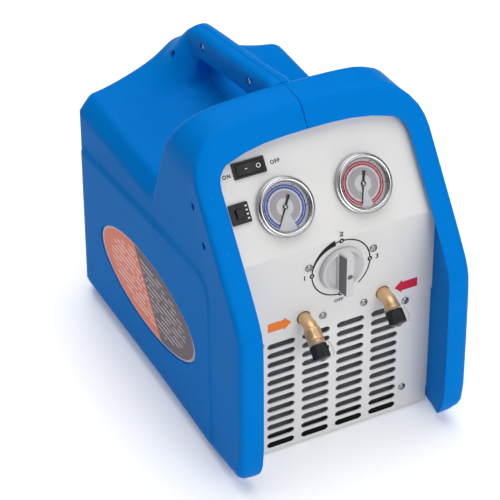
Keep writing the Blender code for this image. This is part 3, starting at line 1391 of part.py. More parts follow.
def fan(looks):
    """The rotor, with its origin on its axis, and the motor that its hub runs on."""
    z = fan_centre_z()
    turn = Matrix.Rotation(math.radians(-90), 4, "X")
    axis = holder("fan_axis", Matrix.Translation((0, fan_middle_y(), z)) @ turn)
    half = FAN_HUB_LENGTH / 2
    bore = FAN_SHAFT_RADIUS + FIT
    profile = [(bore, -half + 0.001), (FAN_HUB_RADIUS - 0.002, -half), (FAN_HUB_RADIUS, -half + 0.003)]
    profile += [(FAN_HUB_RADIUS, half), (bore, half)]
    rotor = turned("fan_rotor", profile, MEDIUM, looks["black"])
    for index in range(FAN_BLADES):
        rings = []
        for share in (0.0, 0.5, 1.0):
            radius = FAN_HUB_RADIUS - 0.002 + (FAN_RADIUS - FAN_HUB_RADIUS + 0.002) * share
            width = 0.011 + 0.008 * share
            pitch = FAN_PITCH * (1.25 - 0.5 * share)
            along = Vector((0, math.cos(pitch), math.sin(pitch))) * width
            thick = Vector((0, -math.sin(pitch), math.cos(pitch))) * 0.0009
            centre = Vector((radius * (1 - 0.06 * share), 0, 0))
            rings.append([centre + along + thick, centre - along + thick, centre - along - thick,
                          centre + along - thick])
        blade = rings_solid("blade", rings, None)
        combine(rotor, place(blade, Matrix.Rotation(2 * math.pi * index / FAN_BLADES, 4, "Z")), "UNION")
    hang(rotor, axis)
    start = half + 0.0006
    reach = -half * 0.6
    shaft, radius = FAN_SHAFT_RADIUS, FAN_MOTOR_RADIUS
    profile = [(0, reach), (shaft, reach), (shaft, start), (radius * 0.9, start)]
    profile += [(radius, start + 0.002), (radius, start + FAN_MOTOR_LENGTH)]
    profile += [(0, start + FAN_MOTOR_LENGTH)]
    motor = turned("fan_motor", profile, MEDIUM, looks["motor"])
    place(motor, axis.matrix_world.copy())


# Compressor
def compressor(looks):
    """A ribbed motor across the machine with a crankcase, cylinder and finned head at each end."""
    y = FRONT_Y + MOTOR_Y
    turn = Matrix.Translation((0, y, MOTOR_Z)) @ FRAME_X
    half = MOTOR_LENGTH / 2
    profile = [(0, -half), (MOTOR_RADIUS * 0.8, -half), (MOTOR_RADIUS * 0.92, -half + 0.004)]
    pitch = (MOTOR_LENGTH - 0.024) / MOTOR_RIBS
    for index in range(MOTOR_RIBS):
        start = -half + 0.012 + pitch * index
        profile += [(MOTOR_RADIUS * 0.92, start), (MOTOR_RADIUS, start + 0.001)]
        profile += [(MOTOR_RADIUS, start + pitch * 0.45), (MOTOR_RADIUS * 0.92, start + pitch * 0.45 + 0.001)]
    profile += [(MOTOR_RADIUS * 0.92, half - 0.004), (MOTOR_RADIUS * 0.8, half), (0, half)]
    place(turned("compressor_motor", profile, MEDIUM, looks["motor"]), turn)
    cradle(looks)
    for side, word in ((-1, "left"), (1, "right")):
        crank_side(word, side, looks)


def crank_side(word, side, looks):
    y = FRONT_Y + MOTOR_Y
    turn = Matrix.Translation((0, y, MOTOR_Z)) @ FRAME_X
    start = side * (MOTOR_LENGTH / 2 + FIT)
    end = start + side * CRANKCASE_WIDTH
    low, high = sorted((start, end))
    radius = CRANKCASE_RADIUS
    profile = [(0, low), (radius - 0.003, low), (radius, low + 0.003), (radius, high - 0.003)]
    profile += [(radius - 0.003, high), (0, high)]
    case = place(turned(word + "_crankcase", profile, MEDIUM, looks["aluminium"]), turn)
    middle = (start + end) / 2
    upright = Matrix.Translation((middle, y, 0))
    bore = min(CYLINDER_RADIUS, CRANKCASE_WIDTH / 2 - 0.0005)
    barrel = rod("barrel", bore, MOTOR_Z, CYLINDER_TOP_Z, MEDIUM)
    combine(case, place(barrel, upright), "UNION")
    outline = rounded_box(CRANKCASE_WIDTH + 0.004, HEAD_SIZE, 0.006, 2)
    base = CYLINDER_TOP_Z + FIT
    head = prism(word + "_cylinder_head", outline, base, base + HEAD_HEIGHT * 0.4, looks["aluminium"])
    for index in range(HEAD_FINS):
        place_y = (index - (HEAD_FINS - 1) / 2) * HEAD_SIZE / (HEAD_FINS + 0.5)
        reach = CRANKCASE_WIDTH / 2
        low, high = base + HEAD_HEIGHT * 0.3, base + HEAD_HEIGHT
        fin = box("fin", (-reach, place_y - 0.0015, low), (reach, place_y + 0.0015, high))
        combine(head, fin, "UNION")
    place(head, upright)


def cradle(looks):
    """A folded steel bracket on the base plate that the motor lies in."""
    y = FRONT_Y + MOTOR_Y
    low = base_top() + FIT
    half = MOTOR_RADIUS * 1.05
    high = low + CRADLE_HEIGHT
    outline = [(y - half, low), (y + half, low), (y + half, high), (y - half, high)]
    width = MOTOR_LENGTH / 2 - CRADLE_INSET
    bracket = prism("compressor_cradle", outline, -width, width, looks["steel"], "X")
    turn = Matrix.Translation((0, y, MOTOR_Z)) @ FRAME_X
    space = rod("motor_space", MOTOR_RADIUS + FIT, -MOTOR_LENGTH, MOTOR_LENGTH, FINE)
    combine(bracket, place(space, turn))
    inside = width - CRADLE_SHEET
    floor = low + CRADLE_SHEET
    combine(bracket, box("inside", (-inside, y - 2 * half, floor), (inside, y + 2 * half, 2 * high)))
    return bracket


# Capacitor and tubes
def run_capacitor(looks):
    low = base_top() + FIT
    radius = CAPACITOR_RADIUS
    profile = [(0, 0), (radius, 0), (radius, CAPACITOR_HEIGHT - 0.002), (radius - 0.002, CAPACITOR_HEIGHT)]
    profile += [(0, CAPACITOR_HEIGHT)]
    capacitor = turned("run_capacitor", profile, MEDIUM, looks["aluminium"])
    place(capacitor, Matrix.Translation((CAPACITOR_X, FRONT_Y + CAPACITOR_Y, low)))


def tubes(looks):
    """Copper lines from the manifold to the left head, the right head to the coil, and back."""
    back = block_span()[1] + FIT
    head_front = FRONT_Y + MOTOR_Y - HEAD_SIZE / 2 - FIT
    reach = MOTOR_LENGTH / 2 + FIT + CRANKCASE_WIDTH / 2
    head_z = CYLINDER_TOP_Z + FIT + HEAD_HEIGHT * 0.2
    turn_y = (back + head_front) / 2
    coil_y = sum(coil_span()) / 2
    plate = COIL_HALF_WIDTH + COIL_PLATE + FIT
    rows = coil_rows()
    runs = {
        "suction_tube": [
            (INLET_X, back, SUCTION_Z), (INLET_X, turn_y, SUCTION_Z),
            (-reach, turn_y, head_z), (-reach, head_front, head_z),
        ],
        "discharge_tube": [
            (reach, head_front, head_z), (reach, turn_y, head_z), (DISCHARGE_X, turn_y, head_z),
            (DISCHARGE_X, turn_y, rows[-1]), (DISCHARGE_X, coil_y, rows[-1]), (plate, coil_y, rows[-1]),
        ],
        "liquid_tube": [
            (plate, coil_y, rows[0]), (LIQUID_X, coil_y, rows[0]), (LIQUID_X, LIQUID_Y, rows[0]),
            (LIQUID_X, LIQUID_Y, PORT_Z), (OUTLET_X, LIQUID_Y, PORT_Z), (OUTLET_X, back, PORT_Z),
        ],
    }
    for name, corners in runs.items():
        bent_tube(name, corners, TUBE_RADIUS, TUBE_BEND, looks["copper"])


def build():
    for obj in list(bpy.data.objects):
        bpy.data.objects.remove(obj)
    looks = palette()
    shells(looks["blue"])
    control_panel(looks["panel"])
    grille_panel(looks["panel"])
    gauge("left", -1, LEFT_NEEDLE_ANGLE, looks)
    gauge("right", 1, RIGHT_NEEDLE_ANGLE, looks)
    rocker_switch(looks)
    breaker(looks)
    selector_knob(looks)
    valve_block(looks)
    port("inlet", INLET_X, INLET_REACH, INLET_LEG, looks)
    port("outlet", OUTLET_X, OUTLET_REACH, OUTLET_LEG, looks)
    screws(looks["steel"])
    base_plate(looks)
    feet(looks)
    rear_panel(looks)
    power_inlet(looks)
    condenser(looks)
    fan_shroud(looks)
    fan(looks)
    compressor(looks)
    run_capacitor(looks)
    tubes(looks)


build()
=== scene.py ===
"""Finishes, printed markings and detailed pieces of a refrigerant recovery machine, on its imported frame."""

import json
from math import cos, pi, radians, sin

import bmesh
import bpy
from bpy.props import FloatProperty, FloatVectorProperty, IntProperty, PointerProperty
from mathutils import Matrix, Vector
from mathutils.bvhtree import BVHTree
from mathutils.kdtree import KDTree
import numpy as np

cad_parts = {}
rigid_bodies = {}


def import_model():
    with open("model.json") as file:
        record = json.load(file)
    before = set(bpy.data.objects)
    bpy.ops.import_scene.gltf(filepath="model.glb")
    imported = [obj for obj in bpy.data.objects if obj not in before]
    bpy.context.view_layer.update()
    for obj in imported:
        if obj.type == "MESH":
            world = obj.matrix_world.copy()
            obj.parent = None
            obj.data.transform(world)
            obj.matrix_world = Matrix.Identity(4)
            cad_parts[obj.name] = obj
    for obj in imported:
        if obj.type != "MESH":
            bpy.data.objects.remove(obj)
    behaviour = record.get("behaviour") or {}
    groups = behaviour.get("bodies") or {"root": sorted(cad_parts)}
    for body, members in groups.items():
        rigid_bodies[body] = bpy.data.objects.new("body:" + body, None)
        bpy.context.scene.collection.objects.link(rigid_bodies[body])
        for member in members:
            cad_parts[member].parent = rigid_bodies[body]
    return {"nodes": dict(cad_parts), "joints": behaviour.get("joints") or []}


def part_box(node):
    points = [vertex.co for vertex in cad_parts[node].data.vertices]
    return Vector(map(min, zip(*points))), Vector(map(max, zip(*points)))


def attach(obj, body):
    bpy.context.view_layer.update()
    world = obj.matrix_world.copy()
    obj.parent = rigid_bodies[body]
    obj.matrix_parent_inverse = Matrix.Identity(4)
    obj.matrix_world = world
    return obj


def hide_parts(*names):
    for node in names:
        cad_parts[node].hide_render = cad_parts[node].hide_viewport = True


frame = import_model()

bl_info = {
    "name": "Recovery Machine Looks",
    "version": (1, 0, 0),
    "blender": (4, 5, 0),
    "location": "View3D > Sidebar > Recovery Machine",
    "description": "Dresses the frame of a refrigerant recovery machine in its finishes, prints and details",
    "category": "Object",
}

NODES = frame["nodes"]
JOINTS = {joint["name"]: joint for joint in frame["joints"]}
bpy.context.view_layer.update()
PANEL_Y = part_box("control_panel")[0].y
KNOB_X, _, KNOB_Z = JOINTS["selector_turn"]["pos_m"]
MACHINE = "machine"
RIGHT, AHEAD, UP = Vector((1, 0, 0)), Vector((0, -1, 0)), Vector((0, 0, 1))
# Up the leaning panel, from its fold
GAUGE_UP, ROCKER_UP, BREAKER_UP = 0.0438, 0.0889, 0.0500
# The height of both ports above the floor
PORT_Z = 0.161
# A capital's height as a share of the font's size
CAPITAL = 0.72
# A print's underside and top, and the top of one that covers another, proud of the panel
PRINT_LOW, PRINT_HIGH, OVERPRINT = 0.00002, 0.00012, 0.00016


def linear(*levels):
    """A colour given in display levels from 0 to 255, as the linear values that shaders use."""
    parts = [level / 255 for level in levels]
    return tuple(part / 12.92 if part <= 0.04045 else ((part + 0.055) / 1.055) ** 2.4 for part in parts)


def number(name, what, default, **more):
    return FloatProperty(name=name, description=what, default=default, **more)


def size(name, metres, what, low=0.0):
    return number(name, what, metres, min=low, subtype="DISTANCE", unit="LENGTH")


def share(name, amount, what, high=1.0):
    return number(name, what, amount, min=0.0, max=high)


def angle(name, degrees, what):
    return number(name, what, radians(degrees), subtype="ANGLE", unit="ROTATION")


def power(name, watts, where):
    return number(name, "Power of the large light " + where, watts, min=0.0)


def colour(name, levels, of_what):
    return FloatVectorProperty(name=name, description="Colour of the " + of_what, default=linear(*levels),
                               min=0.0, max=1.0, subtype="COLOR")


# What a user may change
class HousingLook(bpy.types.PropertyGroup):
    shell: colour("Shell", (0, 120, 208), "moulded half shells")
    shell_roughness: share("Shell roughness", 0.40, "How dull the shells are")
    grain: size("Grain", 0.0011, "Size of the moulded grain on the shells")
    label_rear: colour("Label rear", (238, 146, 124), "oval label's rear part")
    label_front: colour("Label front", (124, 115, 122), "oval label's front part")
    label_y: size("Label along", 0.0235, "Place of the oval label's middle along the machine", -1.0)
    label_z: size("Label up", 0.1066, "Height of the oval label's middle above the floor")
    label_length: size("Label half length", 0.1105, "Half the length of the oval label")
    label_height: size("Label half height", 0.0450, "Half the height of the oval label")
    rule_pitch: size("Rule pitch", 0.0056, "Distance between the label's ruled lines", 0.0005)
    rubber: colour("Rubber", (26, 26, 27), "feet")


class PanelLook(bpy.types.PropertyGroup):
    paint: colour("Paint", (215, 214, 213), "painted panels")
    ink: colour("Ink", (28, 28, 30), "printed lines and words")
    ring_radius: size("Ring radius", 0.0316, "Radius of the printed ring round the knob")
    ring_width: size("Ring width", 0.0014, "Width of the printed ring")
    wedge_width: size("Wedge width", 0.0052, "What the ring's wedge adds to its width at the thick end")
    dot_radius: size("Dot radius", 0.0026, "Radius of the dots on the ring")
    word_height: size("Word height", 0.0038, "Height of the printed words and figures")
    arrow_in: colour("Inlet arrow", (232, 122, 48), "arrow beside the inlet")
    arrow_out: colour("Outlet arrow", (196, 34, 62), "arrow beside the outlet")
    arrow_length: size("Arrow length", 0.0255, "Length of the two arrows")
    arrow_height: size("Arrow height", 0.0155, "Height of the arrows' heads")


class GaugeLook(bpy.types.PropertyGroup):
    low_ink: colour("Low side ink", (64, 98, 194), "low side gauge's scale")
    high_ink: colour("High side ink", (198, 52, 66), "high side gauge's scale")
    inner_band: colour("Inner band", (186, 181, 186), "inner scales' band")
    inner_ink: colour("Inner ink", (44, 40, 46), "inner scales' marks")
    face: colour("Dial", (224, 226, 232), "dials")
    outer_radius: size("Outer scale", 0.0216, "Outer radius of the outer scale's double band")
    outer_width: size("Outer width", 0.0040, "Width of the outer scale's double band")
    inner_radius: size("Inner scale", 0.0152, "Outer radius of the inner scale's band")
    inner_width: size("Inner width", 0.0062, "Width of the inner scale's band")
    low_sweep: angle("Low side sweep", 308.0, "Angle from start to end of the low side's scale")
    high_sweep: angle("High side sweep", 326.0, "Angle from start to end of the high side's scale")
    ticks: IntProperty(name="Ticks", description="Small marks on the outer scale", default=61, min=2)
    steps: IntProperty(name="Steps", description="Numbered steps on the outer scale", default=5, min=1)


class FittingLook(bpy.types.PropertyGroup):
    brass: colour("Brass", (230, 192, 146), "hose fittings")
    cap: colour("Cap", (24, 28, 29), "port caps")
    strap: colour("Strap", (226, 219, 204), "soft straps")
    flat: share("Flats", 0.93, "Distance of the fitting's flats from its middle, as a share of its radius")
    thread_pitch: size("Thread pitch", 0.00127, "Distance between the turns of the thread")
    cap_ribs: IntProperty(name="Cap ribs", description="Grip ribs round each cap", default=28, min=6)
    # Painted shade: the grip colour darkens the knob bar's side walls, as if they were in shadow
    grip: colour("Grip", (112, 112, 113), "rough sides of the knob's grip")
    knob: colour("Knob", (196, 196, 197), "selector knob")
    chrome: colour("Chrome", (190, 190, 192), "gauge rims")


class InsideLook(bpy.types.PropertyGroup):
    fin_pitch: size("Fin pitch", 0.0018, "Distance between the condenser's fins", 0.0005)
    fin_thickness: size("Fin thickness", 0.0003, "Thickness of a condenser fin")
    aluminium: colour("Aluminium", (158, 160, 163), "castings")
    fin: colour("Fins", (166, 167, 170), "condenser's fins")
    copper: colour("Copper", (206, 130, 92), "tubes")
    motor: colour("Motor paint", (62, 65, 70), "motors")


class StageLook(bpy.types.PropertyGroup):
    floor: colour("Floor", (254, 254, 255), "floor")
    glow: share("Glow", 0.16, "Strength of the floor's own light, as on a lit table")
    sky: share("Sky", 0.30, "Strength of the soft light from high up all round", 10.0)
    key: power("Key", 38.0, "in front")
    side: power("Side", 12.0, "at the front's right")
    top: power("Top", 72.0, "overhead")
    back: power("Back", 26.0, "behind and above")
    lens: number("Lens", "Focal length of the camera, in millimetres", 189.4, min=1.0)


def feed(tree, socket, value):
    """Gives a node's input another node's output, or a value."""
    value = getattr(value, "socket", value)
    if isinstance(value, bpy.types.NodeSocket):
        tree.links.new(value, socket)
    else:
        socket.default_value = value


def add_node(tree, kind, values, settings):
    node = tree.nodes.new(kind)
    for name, value in settings.items():
        setattr(node, name, value)
    for name, value in values.items():
        feed(tree, node.inputs[name], value)
    return node.outputs


# Shader maths
def maths(operation):
    """What a Python operator does on a Wire: it adds one Math node."""

    def method(wire, *others):
        return wire.finish.node("ShaderNodeMath", dict(enumerate((wire, *others))), operation=operation)[0]

    return method


class Wire:
    """A shader output used in Python expressions."""

    def __init__(self, finish, socket):
        self.finish = finish
        self.socket = socket

    __add__ = __radd__ = maths("ADD")
    __sub__ = maths("SUBTRACT")
    __mul__ = maths("MULTIPLY")
    __truediv__ = maths("DIVIDE")
    __pow__ = maths("POWER")
    __abs__ = maths("ABSOLUTE")
    fraction = maths("FRACT")

    def __rsub__(self, other):
        return self.finish.node("ShaderNodeMath", {0: other, 1: self}, operation="SUBTRACT")[0]

    def rise(self, start, end):
        """0 below start, 1 above end, and smooth between them."""
        values = {"Value": self, "From Min": start, "From Max": end, "To Min": 0.0, "To Max": 1.0}
        return self.finish.node("ShaderNodeMapRange", values, interpolation_type="SMOOTHSTEP")["Result"]


class Finish:
    """A material, and the name of the record's slot that goes with it."""

    made = {}

    def __init__(self, name, slot, base, roughness, metallic=0.0, specular=0.5, alpha=1.0):
        self.slot = slot
        self.material = bpy.data.materials.new(name)
        self.material.use_nodes = True
        self.material.diffuse_color = (*base, alpha)
        self.tree = self.material.node_tree
        self.shader = self.tree.nodes["Principled BSDF"]
        self.set("Base Color", (*base, 1.0))
        self.set("Roughness", roughness)
        self.set("Metallic", metallic)
        self.set("Specular IOR Level", specular)
        self.set("Alpha", alpha)
        Finish.made[name] = self

    def set(self, name, value):
        feed(self.tree, self.shader.inputs[name], value)

    def node(self, kind, values, **settings):
        """Adds a node and gives its outputs by name and by place."""
        outputs = enumerate(add_node(self.tree, kind, values, settings))
        return {key: Wire(self, socket) for place, socket in outputs for key in (place, socket.name)}

    def place(self):
        return self.node("ShaderNodeTexCoord", {})["Object"]

    def axes(self):
        split = self.node("ShaderNodeSeparateXYZ", {0: self.place()})
        return split["X"], split["Y"], split["Z"]

    def noise(self, grain, detail=3.0, stretch=None):
        """Even noise of that grain size in metres, from 0 to 1."""
        where = self.place()
        if stretch:
            where = self.node("ShaderNodeMapping", {"Vector": where, "Scale": stretch})["Vector"]
        return self.node("ShaderNodeTexNoise", {"Vector": where, "Scale": 1 / grain, "Detail": detail})[0]

    def mix(self, amount, first, second):
        shades = [value if isinstance(value, Wire) else (*value, 1.0) for value in (first, second)]
        return self.node("ShaderNodeMix", {0: amount, 6: shades[0], 7: shades[1]}, data_type="RGBA")[2]

    def bump(self, height, depth, strength=1.0):
        values = {"Height": height, "Distance": depth, "Strength": strength}
        self.set("Normal", self.node("ShaderNodeBump", values)["Normal"])


def darker(shade, amount):
    return tuple(level * amount for level in shade[:3])


def plain_finish(name, slot, base, roughness, grain, depth, specular=0.5):
    """A finish with a fine bump and a slight change of colour and gloss over the surface."""
    finish = Finish(name, slot, base, roughness, specular=specular)
    broad = finish.noise(0.06, 2.0)
    fine = finish.noise(grain)
    finish.set("Base Color", finish.mix(broad.rise(0.3, 0.7), darker(base, 0.94), tuple(base)))
    finish.set("Roughness", fine * 0.10 + (roughness - 0.05))
    finish.bump(fine, depth)


def metal_finish(name, slot, base, roughness, depth, metallic=1.0, stretch=None):
    """A metal finish with a fine grain, which stretch draws out into lines."""
    finish = Finish(name, slot, base, roughness, metallic)
    lines = finish.noise(0.0012, 4.0, stretch)
    broad = finish.noise(0.03, 2.0)
    finish.set("Base Color", finish.mix(broad.rise(0.3, 0.75), darker(base, 0.88), tuple(base)))
    finish.set("Roughness", lines * 0.18 + (roughness - 0.09))
    finish.bump(lines, depth, 0.5)


def shell_finish(look):
    """Moulded plastic with a spark-eroded grain, and the two-colour label in the left side's oval."""
    base = tuple(look.shell)
    finish = Finish("shell_plastic", "shell_blue", base, look.shell_roughness, specular=0.012)
    across, along, up = finish.axes()
    grain = finish.noise(look.grain, 2.0)
    broad = finish.noise(0.09, 2.0)
    scuffs = finish.noise(0.004, 5.0, (0.4, 1.0, 3.0)).rise(0.68, 0.78) * (1 - up.rise(0.006, 0.028))
    body = finish.mix(broad.rise(0.25, 0.75), darker(base, 0.95), base)
    body = finish.mix(grain.rise(0.35, 0.65) * 0.5, body, darker(base, 0.78))
    # The shells' joint is dark on the front hoop, and faint behind it.
    seam = (1 - abs(across).rise(0.0003, 0.0010)) * (0.68 - along.rise(-0.070, -0.040) * 0.55)
    body = finish.mix(seam, body, darker(base, 0.30))
    body = finish.mix(scuffs * 0.5, body, (0.16, 0.30, 0.52))
    ahead_of_middle, above_middle = along - look.label_y, up - look.label_z
    oval = (ahead_of_middle / look.label_length) ** 2 + (above_middle / look.label_height) ** 2
    label = (1 - oval.rise(0.955, 0.985)) * (1 - across.rise(-0.1195, -0.1185))
    # A leaning line parts the label's two colours.
    split = ahead_of_middle - above_middle * 0.72
    front = 1 - split.rise(-0.0006, 0.0006)
    paper = finish.mix(front, tuple(look.label_rear), tuple(look.label_front))
    row = (above_middle / look.rule_pitch).fraction() - 0.5
    broken = finish.noise(0.010, 0.0, (0.1, 1.0, 3.0)).rise(0.36, 0.40)
    rules = (1 - abs(row).rise(0.12, 0.17)) * (1 - oval.rise(0.60, 0.64)) * broken
    rules = rules * abs(split).rise(0.004, 0.005)
    paper = finish.mix(rules * (0.82 - front * 0.22), paper, (0.94, 0.88, 0.86))
    paper = finish.mix(oval.rise(0.90, 0.93) * 0.6, paper, (0.80, 0.72, 0.70))
    finish.set("Base Color", finish.mix(label, body, paper))
    gloss = grain * 0.10 + (look.shell_roughness - 0.04)
    finish.set("Roughness", gloss * (1 - label) + label * 0.34)
    finish.bump(grain * (1 - label), 0.00022, 0.8)


def painted_finish(look):
    """Light powder coat with its fine orange peel."""
    base = tuple(look.paint)
    finish = Finish("panel_paint", "panel_grey", base, 0.42, specular=0.35)
    peel = finish.noise(0.0011, 2.0)
    finish.set("Base Color", finish.mix(finish.noise(0.08, 2.0).rise(0.3, 0.7), darker(base, 0.97), base))
    finish.set("Roughness", peel * 0.12 + 0.36)
    finish.bump(peel, 0.00004, 0.6)


def make_finishes(settings):
    housing, panel, gauge = settings.housing, settings.panel, settings.gauge
    fitting, inside = settings.fitting, settings.inside
    shell_finish(housing)
    painted_finish(panel)
    # Name, slot, colour, roughness, grain size, depth of the grain, specular level
    for row in (
        ("rubber", "rubber", housing.rubber, 0.75, 0.0008, 0.00008, 0.3),
        # Painted shade: near black for the sheet behind the grille's lowest slots
        ("foam", "rubber", linear(20, 20, 21), 0.95, 0.0011, 0.0003, 0.05),
        ("black_plastic", "black_plastic", linear(27, 27, 29), 0.42, 0.0007, 0.00004, 0.3),
        ("cap_plastic", "black_plastic", fitting.cap, 0.38, 0.0007, 0.00004, 0.4),
        ("knob_plastic", "knob_grey", fitting.knob, 0.36, 0.0009, 0.00003, 0.4),
        # Painted shade on the knob bar's side walls
        ("grip_plastic", "knob_grey", fitting.grip, 0.5, 0.0007, 0.00008, 0.3),
        ("strap_plastic", "clear_strap", fitting.strap, 0.3, 0.001, 0.00003),
        ("dial_enamel", "dial_white", gauge.face, 0.4, 0.0006, 0.00001, 0.3),
        ("motor_paint", "motor_grey", inside.motor, 0.5, 0.0009, 0.00005),
        # Painted shade: a dark steel for the knob's screw, standing in for the shade in its hole
        ("dark_steel", "zinc_steel", linear(88, 87, 90), 0.5, 0.0006, 0.00002),
        # Painted shade: near black so that the base plate reads as shade through the grille's lowest slots
        ("black_steel", "zinc_steel", linear(38, 38, 40), 0.45, 0.0009, 0.00004),
    ):
        plain_finish(*row)
    for name, slot, base, roughness in (
        ("ink", "black_plastic", panel.ink, 0.5),
        ("needle_paint", "black_plastic", linear(34, 34, 37), 0.5),
        ("inlet_ink", "dial_white", panel.arrow_in, 0.45),
        ("outlet_ink", "dial_white", panel.arrow_out, 0.45),
        ("switch_ink", "dial_white", linear(226, 228, 228), 0.5),
        ("low_ink", "dial_white", gauge.low_ink, 0.5),
        ("high_ink", "dial_white", gauge.high_ink, 0.5),
        ("inner_ink", "dial_white", gauge.inner_ink, 0.5),
        ("inner_band", "dial_white", gauge.inner_band, 0.5),
    ):
        plain_finish(name, slot, base, roughness, 0.0006, 0.00001, 0.2)
    strap = Finish.made["strap_plastic"]
    strap.set("Subsurface Weight", 0.3)
    strap.set("Subsurface Radius", (0.002, 0.0018, 0.0015))
    strap.set("Alpha", 0.32)
    # Name, slot, colour, roughness, depth of the grain, metallic level, stretch
    for row in (
        ("chrome", "chrome", fitting.chrome, 0.25, 0.0000004),
        # Painted shade: a darker chrome for the bezel's inner wall and groove
        ("dark_chrome", "chrome", linear(44, 44, 47), 0.4, 0.000001),
        ("screw_steel", "zinc_steel", linear(164, 160, 164), 0.22, 0.000006),
        # Painted highlight: a lighter steel for the handle's screws, standing in for their glints
        ("handle_steel", "zinc_steel", linear(226, 228, 234), 0.30, 0.000006, 0.1),
        ("zinc", "zinc_steel", linear(172, 174, 178), 0.32, 0.00003),
        ("brass", "brass", fitting.brass, 0.37, 0.00003, 0.7, (6.0, 1.0, 1.0)),
        ("aluminium", "aluminium", inside.aluminium, 0.42, 0.00003),
        ("fin_aluminium", "aluminium", inside.fin, 0.6, 0.00003, 0.25, (1.0, 1.0, 0.1)),
        ("copper", "copper", inside.copper, 0.3, 0.00003),
    ):
        metal_finish(*row)
    lens = Finish("gauge_lens", "clear_lens", (0.03, 0.03, 0.03), 0.04, specular=0.8, alpha=0.10)
    lens.set("Roughness", lens.noise(0.02) * 0.05 + 0.02)
    # Painted shade: near black for the floors of the screws' cross recesses
    dark = Finish("bore_shadow", "zinc_steel", (0.01, 0.01, 0.01), 0.9)
    dark.set("Base Color", dark.mix(dark.noise(0.002, 2.0), (0.006, 0.006, 0.006), (0.02, 0.02, 0.02)))


def of(name):
    return Finish.made[name].material


# Placing pieces
def axes_frame(right, up, out, place):
    turn = Matrix((right, up, out)).transposed().to_4x4()
    return Matrix.Translation(place) @ turn


def leaning(x, up):
    """A frame on the leaning panel: x right, y up the slope, z out of it. up is measured from the fold."""
    gauge = JOINTS["right_needle_turn"]
    out = -Vector(gauge["axis"])
    rise = out.cross(RIGHT)
    place = Vector(gauge["pos_m"]) + rise * (up - GAUGE_UP)
    place.x = x
    return axes_frame(RIGHT, rise, out, place)


def upright(x, z):
    """A frame on the upright panel: x right, y up, z out of it."""
    return axes_frame(RIGHT, UP, AHEAD, Vector((x, PANEL_Y, z)))


def linked(name, data):
    obj = bpy.data.objects.new(name, data)
    bpy.context.scene.collection.objects.link(obj)
    return obj


def shaded(mesh, degrees):
    """Smooth where the faces meet at less than this angle."""
    mesh.shade_smooth()
    mesh.set_sharp_from_angle(angle=radians(degrees))
    return mesh


def piece(name, mesh, finishes, body=MACHINE, replaced=(), smooth=None):
    """Links a mesh as a finished piece that rides on a body."""
    obj = linked(name, mesh)
    mesh.name = name
    finishes = finishes.split()
    mesh.materials.clear()
    for finish in finishes:
        mesh.materials.append(of(finish))
    if smooth is not None:
        shaded(mesh, smooth)
    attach(obj, body)
    if replaced:
        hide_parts(*replaced)
    return obj


def made_mesh(data):
    """The mesh of a bmesh, which is used up. Its piece gives it a name."""
    mesh = bpy.data.meshes.new("piece")
    data.to_mesh(mesh)
    data.free()
    return mesh


def node_mesh(name, flat_faces=False):
    """A copy of a node's mesh with its corners joined, and its triangles too where they lie in one plane."""
    data = bmesh.new()
    data.from_mesh(NODES[name].data)
    bmesh.ops.remove_doubles(data, verts=data.verts, dist=2e-6)
    if flat_faces:
        bmesh.ops.dissolve_limit(data, angle_limit=radians(0.4), verts=data.verts, edges=data.edges)
    return made_mesh(data)


def even_skin(name, edge, reach, sharp):
    """A node's mesh in small facets, shaded evenly over nearby facets that face much the same way."""
    fan_limit, alike = cos(radians(26)), cos(radians(48))
    data = bmesh.new()
    data.from_mesh(node_mesh(name))
    for _ in range(8):
        long = [line for line in data.edges if line.calc_length() > edge]
        if not long:
            break
        bmesh.ops.subdivide_edges(data, edges=long, cuts=1)
        bmesh.ops.triangulate(data, faces=data.faces[:])
    skin = shaded(made_mesh(data), sharp)
    faces = skin.polygons
    near = KDTree(len(faces))
    for face in faces:
        near.insert(face.center, face.index)
    near.balance()
    normals = np.array([face.normal for face in faces])
    areas = np.array([face.area for face in faces])
    corners = {}
    for loop in skin.loops:
        corners.setdefault(loop.vertex_index, []).append(loop.index)
    fan = np.array([corner.vector for corner in skin.corner_normals])
    own = np.repeat(normals, 3, axis=0)
    fan = np.where((fan * own).sum(axis=1, keepdims=True) > fan_limit, fan, own)
    even = fan.copy()
    for place, loops in corners.items():
        found = near.find_range(skin.vertices[place].co, reach)
        if not found:
            continue
        index = np.array([item[1] for item in found])
        weight = areas[index] * (1 - np.array([item[2] for item in found]) / reach)
        facing = fan[loops] @ normals[index].T
        total = ((facing > alike) * weight) @ normals[index]
        for loop, way, length in zip(loops, total, np.linalg.norm(total, axis=1)):
            if length > 1e-12:
                even[loop] = way / length
    skin.normals_split_custom_set([tuple(way) for way in even])
    return skin


def refined(node, finish, bevel=0.0, body=MACHINE, smooth=32.0, segments=2):
    """Stands in for a node with the same shape, smooth where it is round and eased along its edges."""
    obj = piece(node + "_skin", node_mesh(node, bevel > 0), finish, body, [node], smooth)
    if bevel:
        edge = obj.modifiers.new("eased edges", "BEVEL")
        edge.width = bevel
        edge.segments = segments
        edge.limit_method = "ANGLE"
        edge.angle_limit = radians(smooth)
    return obj


